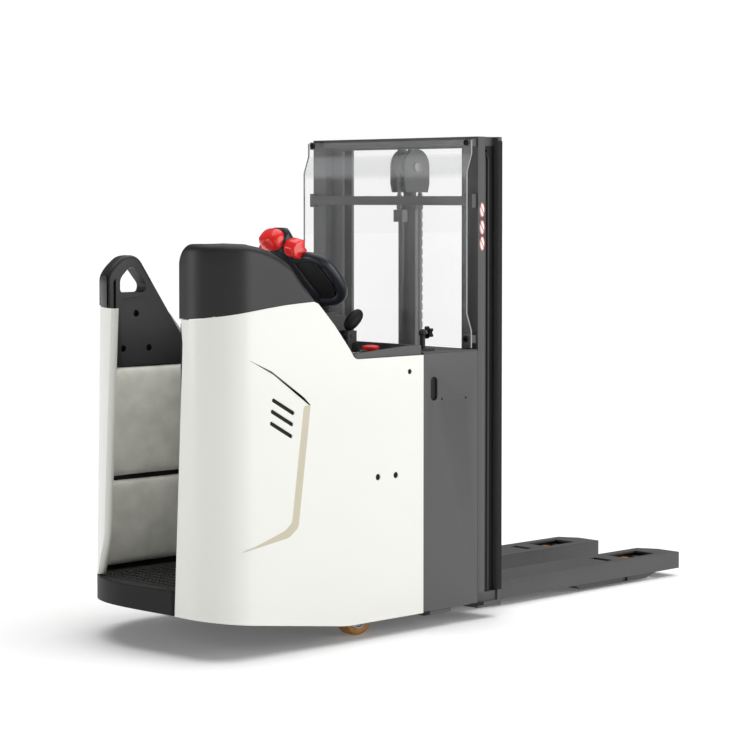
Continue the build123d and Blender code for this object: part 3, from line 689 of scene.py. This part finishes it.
def eased(node, look, width):
    """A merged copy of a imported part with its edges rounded, standing for that part."""
    source = frame["nodes"][node]
    mesh = source.data.copy()
    mesh.name = node + "_finished"
    work = bmesh.new()
    work.from_mesh(mesh)
    bmesh.ops.remove_doubles(work, verts=work.verts, dist=0.00001)
    bmesh.ops.dissolve_limit(work, angle_limit=math.radians(0.4), verts=work.verts, edges=work.edges)
    work.to_mesh(mesh)
    work.free()
    mesh.shade_smooth()
    mesh.materials.clear()
    mesh.materials.append(look)
    piece = bpy.data.objects.new(mesh.name, mesh)
    scene.collection.objects.link(piece)
    edges_round(piece, width, 2, 30)
    level_out = piece.modifiers.new("level_out", "WEIGHTED_NORMAL")
    level_out.mode = "FACE_AREA"
    level_out.weight = 90
    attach(piece, source["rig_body"])
    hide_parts(node)
    return piece


tray_black = finish("tray_black", (0.014, 0.014, 0.015), 0.5, grain=800, bump=0.15, mottle=0.12,
                    gloss_level=0.25)
rubber = finish("black_rubber", (0.028, 0.028, 0.028), 0.55, grain=600, bump=0.2, mottle=0.15)
eased("right_liner", tray_black, 0.8)
left_lining = eased("left_liner", tray_black, 0.8)
bored(left_lining, [far_tool(862.0, 8.0, 780, 900)])
eased("step_platform", tray_black, 3.0)
eased("floor_mat", rubber, 0.8)
RIB_X = -1113.0 + 33.0 * np.arange(14)
STUD_Y = np.arange(-172, 222, 19.0)
MAT_R = 340


def studs():
    """Low domes, eight-sided in plan and three rings high, repeated at every rib and step."""
    t = np.linspace(0, 2 * math.pi, 8, endpoint=False)
    ring_r = np.array([6.4, 5.9, 4.4, 0.01])
    ring_z = np.array([203.0, 205.4, 206.9, 207.3])
    dome = np.stack([ring_r[:, None] * np.cos(t), ring_r[:, None] * np.sin(t),
                     np.repeat(ring_z[:, None], 8, axis=1)], -1).reshape(-1, 3)
    cx, cy = np.meshgrid(RIB_X + 16.5, STUD_Y, indexing="ij")
    inside = (cx - FAR_X) ** 2 + np.maximum(0, cy - FAR_Y) ** 2 < MAT_R ** 2
    inside |= cy < FAR_Y
    centres = np.stack([cx[inside], cy[inside], 0 * cx[inside]], -1)
    points = (centres[:, None, :] + dome[None]).reshape(-1, 3)
    base = np.array(grid_faces(4, 8, wrap_cols=True))
    faces = (base[None] + 32 * np.arange(len(centres))[:, None, None]).reshape(-1, 4).tolist()
    faces += [[32 * k + i for i in range(8)][::-1] for k in range(len(centres))]
    return points, faces


solid("floor_mat_studs", *studs(), rubber, slot="black_rubber", crease=60)

# ---- chassis, base and covers ---------------------------------------------------------------
# Welded plate parts in dark grey powder coat, and the folded side and top covers that hide the
# battery. The covers carry a latch slot and two pins.
coat_grey = finish("dark_grey_coat", (0.068, 0.068, 0.069), 0.46, grain=1500, mottle=0.05,
                   cloud=5.0, worn=0.35, gloss_level=0.45)
for node in ("chassis_frame", "base_plate", "top_cover"):
    eased(node, coat_grey, 1.2)
for side, s in SIDES:
    eased(side + "_side_cover", coat_grey, 1.2)
    # A black strip in the joint between shell and cover: painted shade of the gap.
    shade_gap_outline = oblong(-291, -284, 62, 898, 2)
    solid(side + "_cover_gasket", *slab(shade_gap_outline, s * 402, s * 407.4, "y", 0.8), black)
    latch = oblong(-262, -215, 742, 836, 16)
    solid(side + "_latch_tray", *slab(latch, s * 396, s * 401.5, "y", 1.5), black)
    for k, (x, z) in enumerate(((-202, 753), (-90, 751))):
        screw_head(f"{side}_cover_pin_{k + 1}", (x, s * 407, z), "y", 4, s)
    for k, edges in enumerate(((-287, -257, 47, 60), (-68, -2, 48, 60))):
        notch = oblong(*edges, 2)
        solid(f"{side}_base_notch_{k + 1}", *slab(notch, s * 407.6, s * 408.6, "y", 0.3), black)

# ---- mast ----------------------------------------------------------------------------------
# Rolled channels in dark grey enamel. The outer pair is bolted to the base with a head beam;
# two hoses lie in each side recess, over a black strip that is painted shade for the recess.
mast_grey = finish("mast_enamel", (0.058, 0.058, 0.059), 0.42, grain=1300, bump=0.06,
                   cloud=4.0, worn=0.3, gloss_level=0.5)
eased("outer_mast", mast_grey, 2.0)
eased("inner_mast", mast_grey, 1.5)
eased("guard_bracket", mast_grey, 1.2)
hose_black = finish("hose_black", (0.03, 0.03, 0.032), 0.35, bump=0.05)
hose = [(0.01, 94), (5.5, 94), (5.5, 1540), (2.75, 1552), (0.01, 1553)]
for side, s in SIDES:
    # A black sheet on each channel's web: painted shade for the side recess.
    strip = oblong(1.5, 63.5, 92, 1586, 3)
    solid(side + "_wear_strip", *slab(strip, s * 386.3, s * 388.5, "y", 0.8), black)
    rail = oblong(65, 84, 92, 1604, 1)
    solid(side + "_front_rail_face", *slab(rail, s * 407.9, s * 408.9, "y", 0.4), black)
    for k, x in enumerate((12, 27)):
        solid(f"{side}_channel_hose_{k + 1}", *turned(hose, (x, s * 394.5, 0), "z", 14), hose_black,
              crease=60)

label_white = finish("label_white", (0.80, 0.80, 0.80), 0.35, bump=0.01, mottle=0.01)
label_red = finish("label_red", (0.55, 0.03, 0.03), 0.35, bump=0.01, mottle=0.02)
t_round = np.linspace(0, 2 * math.pi, 40, endpoint=False)
for k, z in enumerate((1373, 1315, 1261)):
    face = np.stack([-13 + 13.0 * np.cos(t_round), z + 25.0 * np.sin(t_round)], -1)
    solid(f"label_disc_{k + 1}", *slab(face, -408.5, -407.8, "y"), label_white, slot="mast_paint")
    hoop = np.stack([inset(face, 0.4), inset(face, 3.2)])
    points = np.stack([hoop[..., 0], np.full(hoop.shape[:2], -408.75), hoop[..., 1]], -1)
    solid(f"label_hoop_{k + 1}", points, grid_faces(2, 40, wrap_cols=True), label_red,
          slot="mast_paint", wall=0.3, outward=False)
    bar = stadium(-13, z, 40, 2.8, math.radians(-60))
    solid(f"label_bar_{k + 1}", *slab(bar, -408.8, -408.4, "y"), label_red, slot="mast_paint")

# ---- lift cylinder, ram head and chain --------------------------------------------------------
# One free-lift cylinder between the masts. Its ram carries a rounded sheave head; a leaf chain
# runs from the barrel over the sheave and down to the carriage.
cylinder_coat = finish("cylinder_coat", (0.070, 0.070, 0.071), 0.30, bump=0.03, mottle=0.05,
                       coat=0.3)
dark_steel = finish("oiled_steel", (0.15, 0.145, 0.14), 0.34, metal=1.0, grain=700, bump=0.08,
                    mottle=0.15)
eased("lift_cylinder", cylinder_coat, 1.5)
eased("lift_ram", mast_grey, 1.0)
eased("chain_sheave", dark_steel, 0.8)
X_LIFT, Z_LIFT = 50.0, 1520.0
arch = np.linspace(0, math.pi, 22)
cheek_arc = np.stack([X_LIFT + 60 * np.cos(arch), Z_LIFT + 62 * np.sin(arch)], -1)
cheek = np.r_[cheek_arc, [[-10, 1462], [-2, 1432], [102, 1432], [110, 1462]]]
for side, s in SIDES:
    solid(side + "_sheave_cheek", *slab(cheek, s * 30.5, s * 37.5, "y", 2.0), mast_grey,
          "mast_stage", "mast_paint")
    boss = [(0.01, 0), (19, 0), (20, s), (20, 5 * s), (17, 7 * s), (9, 7 * s), (8, 5 * s), (0.01, 5 * s)]
    solid(side + "_sheave_boss", *turned(boss, (X_LIFT, 37 * s, Z_LIFT), "y"), dark_steel,
          "mast_stage", "chain_steel", crease=40)
ring_clamp = [(40.2, 1372), (45, 1372), (46, 1376), (46, 1392), (44, 1397), (40.2, 1397)]
solid("cylinder_collar", *turned(ring_clamp, (X_LIFT, 0, 0), "z", 48), mast_grey, slot="mast_paint",
      crease=30)

CHAIN_PITCH = 15.875


def leaf_chain(count):
    """Link plates and pins of a leaf chain along +Z from 0: five plates across, staggered by
    one pitch in turn, each a stadium outline, with a round pin at every pitch."""
    shapes = []
    plate_loop = stadium(0, CHAIN_PITCH / 2, CHAIN_PITCH + 8.4, 8.4, math.pi / 2)
    for lane in range(5):
        y0 = -8.5 + lane * 3.5
        plate, faces = slab(plate_loop, y0, y0 + 3.0, "y")
        shapes += [(plate + [0, 0, k * CHAIN_PITCH], faces) for k in range(lane % 2, count, 2)]
    pin, faces = turned([(0.01, -9.6), (2.4, -9.6), (2.4, 9.6), (0.01, 9.6)], (0, 0, 0), "y", 10)
    shapes += [(pin + [0, 0, k * CHAIN_PITCH], faces) for k in range(count + 1)]
    return joined(shapes)


def chain_run(name, node, x, z0, z1, low_body):
    """A straight run of chain stretched between its two ends, built on the low body and then left free of
    any body.
    """
    count = round((z1 - z0) / CHAIN_PITCH)
    points, faces = leaf_chain(count)
    points = points * [1, 1, (z1 - z0) / (count * CHAIN_PITCH)] + [x, 0, z0]
    piece = solid(name, points, faces, dark_steel, low_body, "chain_steel", [node], crease=40)
    piece.parent = None
    del piece["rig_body"]
    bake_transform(piece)


R_LINK = 50.4
chain_run("chain_rear_links", "chain_rear_run", X_LIFT - R_LINK, 1372.3, 1519.7, "chassis")
chain_run("chain_front_links", "chain_front_run", X_LIFT + R_LINK, 420.5, 1519.7, "fork_carriage")
links, link_faces = leaf_chain(10)
turn = math.pi - links[:, 2] / (10 * CHAIN_PITCH) * math.pi
reach = R_LINK + links[:, 0]
bent = np.stack([X_LIFT + reach * np.cos(turn), links[:, 1], Z_LIFT + reach * np.sin(turn)], -1)
solid("chain_over_sheave_links", bent, link_faces, dark_steel, "mast_stage", "chain_steel",
      ["chain_over_sheave"], crease=40)

# ---- screen guard --------------------------------------------------------------------------
# A 5 mm clear polycarbonate sheet bolted to the mast's rear face. It is bent, so that it stands
# 22 mm further to the rear between its two rows of bolts.


def clear_sheet():
    """Clear sheet: mostly see-through, a touch grey, with a hazier band under its top edge."""
    mat = bpy.data.materials.new("clear_polycarbonate")
    mat.use_nodes = True
    tree = mat.node_tree
    node = tree.nodes["Principled BSDF"]
    node.inputs["Base Color"].default_value = (0.70, 0.71, 0.72, 1)
    node.inputs["Roughness"].default_value = 0.05
    node.inputs["IOR"].default_value = 1.5
    where = tree.nodes.new("ShaderNodeTexCoord")
    split = tree.nodes.new("ShaderNodeSeparateXYZ")
    tree.links.new(where.outputs["Object"], split.inputs[0])
    haze = tree.nodes.new("ShaderNodeValToRGB")
    ramp = haze.color_ramp
    ramp.interpolation = "LINEAR"
    stops = [(0.0, 0.16), (0.96, 0.09), (1.475, 0.09), (1.495, 0.26), (1.552, 0.22), (1.560, 0.10)]
    scale = tree.nodes.new("ShaderNodeMath")
    scale.operation = "DIVIDE"
    scale.inputs[1].default_value = 2.0
    tree.links.new(split.outputs["Z"], scale.inputs[0])
    for k, (z, a) in enumerate(stops):
        stop = ramp.elements[k] if k < 2 else ramp.elements.new(z / 2.0)
        stop.position = z / 2.0
        stop.color = (a, a, a, 1)
    tree.links.new(scale.outputs[0], haze.inputs["Fac"])
    tree.links.new(haze.outputs["Color"], node.inputs["Alpha"])
    return mat


BEND = np.array([(-62, 914), (-62, 972), (-84, 1030), (-84, 1499), (-62, 1560), (-62, 1606),
                 (-57, 1606), (-57, 1561), (-79, 1500), (-79, 1029), (-57, 971), (-57, 914)], float)
solid("screen_guard_sheet", *slab(BEND, -403, 403, "y", 0.6), clear_sheet(), slot="clear_sheet",
      stands_for=["screen_guard"], crease=20)
polished_edge = finish("polished_edge", (0.30, 0.31, 0.32), 0.3, bump=0.02)
for side, s in SIDES:
    solid(side + "_guard_edge", *slab(BEND, s * 402.2, s * 404.2, "y"), polished_edge,
          slot="clear_sheet", crease=20)
bolt_places = [("x", (-62.5, y, z), -1) for y in (-381, 381) for z in (943, 1597)]
bolt_places += [("y", (20, s * 388, 1570), s) for s in (-1, 1)]
for k, (axis, place, out) in enumerate(bolt_places):
    piece = screw_head(f"guard_bolt_{k + 1}", place, axis, 11, out)
    if k == 0:
        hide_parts("bolts")

# ---- forks, carriage and legs ---------------------------------------------------------------
# Pressed and welded forks in the same grey coat, on a welded carriage with steel rollers. The
# support legs under them hold a rocking bogie with two load rollers each.
fork_coat = finish("fork_coat", (0.064, 0.064, 0.064), 0.42, grain=1400, cloud=5.0,
                   worn=0.35, gloss_level=0.45)
for node in ("right_fork", "left_fork"):
    eased(node, fork_coat, 1.4)
for node in ("right_support_leg", "left_support_leg"):
    eased(node, coat_grey, 1.0)
eased("carriage", mast_grey, 1.5)
eased("carriage_rollers", dark_steel, 1.0)
for node in ("right_load_bogie", "left_load_bogie"):
    eased(node, bright_zinc, 0.6)

# ---- wheels --------------------------------------------------------------------------------
# Cast polyurethane treads, amber with scuffed faces, bonded to steel hubs with pressed
# bearings. Load rollers, casters and the drive wheel differ only in size.
tread = finish("amber_polyurethane", (0.42, 0.18, 0.030), 0.36, grain=160, bump=0.15, mottle=0.16,
               cloud=22.0, coat=0.15)


def wheel(name, centre, radius, half, bore, hub_r, body, nodes, hub_nodes=()):
    """A tread with rounded shoulders and dished faces turned about Y, and a stepped hub."""
    r = min(5.0, radius * 0.12)
    a = np.linspace(0, math.pi / 2, 5)
    right = [(radius - r + r * math.sin(t), half - r + r * math.cos(t)) for t in a]
    profile = [(hub_r, half - 3)] + [(hub_r + (radius - hub_r) * 0.3, half - 0.5)] + right
    profile += [(p, -q) for p, q in profile[::-1]]
    solid(name + "_tread", *turned(profile, centre, "y", 64), tread, body, "orange_polyurethane", nodes,
          crease=40)
    h = half - 1.5
    hub = [(bore, h - 2), (bore + 2.5, h), (hub_r * 0.55, h), (hub_r * 0.6, h - 4), (hub_r * 0.84, h - 5),
           (hub_r * 0.9, h - 1), (hub_r + 0.05, h - 1)]
    hub += [(p, -q) for p, q in hub[::-1]]
    solid(name + "_hub", *turned(hub, centre, "y", 48), bright_zinc, body, "zinc_steel", hub_nodes,
          crease=35)


for side, y in (("right", -198.5), ("left", 198.5)):
    for end, x in (("rear", 912), ("front", 1008)):
        label = f"{side}_load_roller_{end}"
        wheel(label, (x, y, 37), 37, 46, 8.2, 22, f"{side}_roller_{end}", [label])
for side, y in (("right", -303), ("left", 303)):
    wheel(side + "_caster", (-500, y, 57), 57, 25, 8.2, 34, side + "_caster_roll", [side + "_caster_wheel"])
    eased(side + "_caster_fork", bright_zinc, 1.0)
wheel("drive", (-470, 0, 115), 115, 37.5, 34.5, 82, "drive_wheel", ["drive_tyre"], ["drive_rim"])
cast = finish("cast_grey_iron", (0.06, 0.06, 0.062), 0.6, metal=0.6, grain=180, bump=0.5, mottle=0.2)
machine_black = finish("machine_black", (0.022, 0.022, 0.023), 0.42, grain=500, mottle=0.12)
eased("drive_gearbox", cast, 1.2)
eased("drive_motor", machine_black, 0.8)

# ---- power pack ----------------------------------------------------------------------------
# Battery, pump with tank and the finned controller sit behind the covers, each on its own deck.
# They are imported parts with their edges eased, and show only when the covers are taken off.
battery_case = finish("battery_case", (0.035, 0.035, 0.04), 0.5, grain=400, bump=0.2, mottle=0.12)
light_alloy = finish("cast_alloy", (0.42, 0.42, 0.43), 0.42, metal=1.0, grain=300, bump=0.25, mottle=0.1)
eased("battery", battery_case, 3.0)
eased("hydraulic_unit", machine_black, 1.5)
eased("motor_controller", light_alloy, 0.8)

# ---- console and small controls --------------------------------------------------------------
# The dashboard tray behind the mast: a black-grey moulding with the emergency stop, key, lift
# lever, a dark display and a clamp post for a clipboard.
console_grey = finish("console_grey", (0.085, 0.085, 0.086), 0.48, bump=0.15, mottle=0.08)
red = finish("signal_red", (0.88, 0.016, 0.014), 0.28, bump=0.02, mottle=0.05, coat=0.5)
eased("console", console_grey, 2.2)
display = oblong(-500, -440, -250, -150, 8)
display_glass = finish("display_glass", (0.006, 0.008, 0.010), 0.08, grain=300, bump=0.0, coat=0.8)
solid("display_frame", *slab(inset(display, -6), 907.6, 912, "z", 1.5), black)
solid("display_window", *slab(display, 911.2, 912.8, "z", 0.5), display_glass)
screw_head("console_screw", (-596, -403, 911), "y", 6, -1)
STOP_AT = (-415, -292, 0)
t_q = np.linspace(0, math.pi / 2, 7)
mushroom = [(0.01, 896), (12, 896), (12, 919), (26.5, 919), (28, 921)]
mushroom += [(28 - 6 + 6 * math.cos(t), 928 + 5 * math.sin(t)) for t in t_q] + [(14, 934.3), (0.01, 934.8)]
solid("emergency_stop_head", *turned(mushroom, STOP_AT, "z", 48), red, "stop_button",
      "red_plastic", ["emergency_stop"], crease=50)
collar = [(30, 908.4), (36, 908.4), (36, 911), (33, 913.4), (30, 913.4)]
solid("emergency_stop_collar", *turned(collar, STOP_AT, "z", 48), console_grey, crease=40)
barrel = [(0.01, 894), (9, 894), (9, 914), (13, 914.5), (13, 917), (11, 918.5), (0.01, 918.5)]
solid("key_barrel", *turned(barrel, (-520, -330, 0), "z", 36), bright_zinc, "key", "zinc_steel",
      ["key_switch"], crease=40)
bow = rounded([(-342, 918), (-318, 918), (-314, 940), (-322, 950), (-338, 950), (-346, 940)], 8)
solid("key_bow", *slab(bow, -521.5, -518.5, "x", 1.0), black, "key")
eased("lever_bracket", machine_black, 1.0)
eased("accessory_post", machine_black, 1.0)


def soft(v, power):
    """A wave with its size raised to a power and its sign kept: below 1 it squares a circle."""
    return np.sign(v) * np.abs(v) ** power


def egg(centre, half, tilt):
    """A rounded pebble: a sphere's grid with its waves softened, scaled and tilted about the
    Y axis through its centre."""
    steps, power = 28, 0.85
    lat = np.linspace(-math.pi / 2, math.pi / 2, steps)[:, None]
    lon = np.linspace(0, 2 * math.pi, steps * 2, endpoint=False)[None, :]
    x = half[0] * soft(np.cos(lat), power) * soft(np.cos(lon), power)
    y = half[1] * soft(np.cos(lat), power) * soft(np.sin(lon), power)
    z = half[2] * soft(np.sin(lat), power) + 0 * lon
    c, s = math.cos(tilt), math.sin(tilt)
    points = np.stack([x * c + z * s, y, -x * s + z * c], -1) + np.asarray(centre, float)
    return points.reshape(-1, 3), grid_faces(steps, steps * 2, wrap_cols=True)


solid("lift_lever_paddle", *egg((-396, -190, 1012), (44, 19, 23), math.radians(-40)), black, "lever",
      stands_for=["lift_lever"], crease=80)
stem = rounded([(-431, 955), (-413, 955), (-400, 1005), (-418, 1010)], 6)
solid("lift_lever_stem", *slab(stem, -197, -183, "y", 4), black, "lever", crease=60)
pivot = [(0.01, -214), (7, -214), (14, -202), (14, -178), (7, -166), (0.01, -166)]
solid("lift_lever_pivot", *turned(pivot, (-422, 0, 962), "y"), machine_black, "lever", crease=40)
t_star = np.linspace(0, 2 * math.pi, 90, endpoint=False)
star_r = 17.0 + 4.5 * np.cos(5 * t_star)
star = np.stack([-330 + star_r * np.cos(t_star), 968 + star_r * np.sin(t_star)], -1)
solid("clamp_knob_star", *slab(star, -198, -180, "x", 3.5, 4), black, "knob",
      stands_for=["clamp_knob"], crease=60)
screw_head("clamp_knob_cap", (-198.6, -330, 968), "x", 7, -1, bright_zinc, "knob", "zinc_steel")

# ---- steering head --------------------------------------------------------------------------
# A tilted moulded head on the steering column: a blunt spine, a hand loop on each side, a red
# belly button at the tip that stops the truck, and a red thumb rocker across it.
TILT = math.radians(46)
X_STEER, Z_HUB = -385.0, 1082.0
SHORTER = 0.88
head_blue = finish("blue_grey_moulding", (0.022, 0.026, 0.033), 0.33, mottle=0.08,
                   coat=0.15)


def on_head(points):
    """Places points drawn along the head's own spine, which rises rearward at the tilt."""
    p = np.asarray(points, float) * [SHORTER, 1, 1] - [4, 0, 0]
    c, s = math.cos(TILT), math.sin(TILT)
    return np.stack([X_STEER + c * p[..., 0] + s * p[..., 2], p[..., 1],
                     Z_HUB - s * p[..., 0] + c * p[..., 2]], -1)


def spine(stations, power=0.62, steps=40):
    """Soft rectangular sections along the spine: at each station a superellipse of that half
    width, from its low to its high edge."""
    st = np.asarray(stations, float)
    t = np.linspace(0, 2 * math.pi, steps, endpoint=False)
    cy = soft(np.cos(t), power)
    cz = soft(np.sin(t), power)
    mid = (st[:, 2] + st[:, 3]) / 2
    half = (st[:, 3] - st[:, 2]) / 2
    z = mid[:, None] + half[:, None] * cz
    points = np.stack([np.repeat(st[:, :1], steps, 1), st[:, 1:2] * cy, z], -1)
    return on_head(points).reshape(-1, 3), tube_faces(len(st), steps)


SPINE = [(-318, 36, 24, 42), (-312, 44, 10, 47), (-298, 47, -26, 49), (-262, 47, -36, 46),
         (-222, 43, -34, 36), (-180, 38, -32, 24), (-120, 38, -32, 18), (-60, 42, -34, 18),
         (-10, 46, -36, 20), (20, 44, -36, 16), (33, 36, -30, 6)]
solid("steering_head_spine", *spine(SPINE), head_blue, "handle", "handle_plastic", ["steering_handle"],
      crease=60)


def smooth_path(points, rounds=4):
    """An open path with its corners cut a quarter of the way along each side, several times."""
    p = np.asarray(points, float)
    for _ in range(rounds):
        q = 0.75 * p[:-1] + 0.25 * p[1:]
        r = 0.25 * p[:-1] + 0.75 * p[1:]
        p = np.r_[p[:1], np.stack([q, r], 1).reshape(-1, p.shape[1]), p[-1:]]
    return p


def rod_along(path, half_across, half_up, steps=28, power=0.9):
    """A soft-cornered rod along a path that lies nearly flat: across is the level normal."""
    p = np.asarray(path, float)
    t = np.gradient(p, axis=0)
    t /= np.linalg.norm(t, axis=1, keepdims=True)
    n = np.stack([-t[:, 1], t[:, 0], 0 * t[:, 0]], -1)
    n /= np.linalg.norm(n, axis=1, keepdims=True)
    b = np.cross(t, n)
    a = np.linspace(0, 2 * math.pi, steps, endpoint=False)
    ca = soft(np.cos(a), power)[None, :, None]
    sa = soft(np.sin(a), power)[None, :, None]
    points = p[:, None] + half_across * ca * n[:, None] + half_up * sa * b[:, None]
    return points, tube_faces(len(p), steps)


LOOP = np.array([(-205, 24, -4), (-212, 70, -2), (-208, 120, 2), (-186, 152, 6), (-130, 158, 8),
                 (-66, 156, 6), (-16, 140, 0), (6, 104, -8), (8, 60, -12), (2, 20, -12)], float)
for side, s in SIDES:
    points, faces = rod_along(smooth_path(LOOP * [1, s, 1]), 19, 18)
    solid(side + "_hand_loop", on_head(points), faces, head_blue, "handle", "handle_plastic", crease=70)
    route = smooth_path((LOOP[1:-1] + [0, -13.0, 14.5]) * [1, s, 1])
    points, faces = rod_along(route, 1.1, 1.1, 8)
    solid(side + "_loop_trim", on_head(points), faces, red, "handle", "red_plastic", crease=70)
WEB = [(-206, -132), (-120, -140), (-60, -138), (-8, -110), (-8, 110), (-60, 138), (-120, 140),
       (-206, 132)]
web_points, web_faces = slab(rounded(WEB, 22), -15, -3, "z", 3)
solid("hand_loop_web", on_head(web_points), web_faces, grip_black, "handle", "handle_plastic", crease=40)
BELLY = [(-346, 14, -18, -2), (-344, 28, -30, 12), (-338, 37, -38, 21), (-326, 42, -43, 27),
         (-306, 44, -44, 28), (-290, 42, -42, 26)]
solid("belly_button_pad", *spine(BELLY, 0.7), red, "belly", "red_plastic", ["belly_button"], crease=60)
WING = [(-290, -20), (-296, 6), (-280, 34), (-262, 40), (-254, 22), (-232, 26), (-224, 4), (-234, -22),
        (-262, -32)]
for side, s in SIDES:
    points, faces = slab(rounded(WING, 7, 4), s * 44, s * 88, "y", 7, 4)
    points[:, 0] += 0.28 * (np.abs(points[:, 1]) - 44)
    solid(side + "_thumb_wing", on_head(points), faces, red, "thumb", "red_plastic",
          ["thumb_control"] if side == "right" else (), crease=60)
folds = []
for k in range(4):
    z = 1031 + 11 * k
    folds += [(40 - k, z), (45 - k, z + 3), (45 - k, z + 5), (38 - k, z + 9)]
boot = [(27.5, 1031)] + folds + [(27.5, 1074)]
solid("column_boot", *turned(boot, (X_STEER, 0, 0), "z", 48), rubber, "handle", "handle_plastic", crease=50)
column = [(0.01, 884), (26.9, 884), (26.9, 1068), (0.01, 1068)]
solid("steering_column", *turned(column, (X_STEER, 0, 0), "z", 40), coat_grey, "handle", "handle_plastic",
      crease=40)
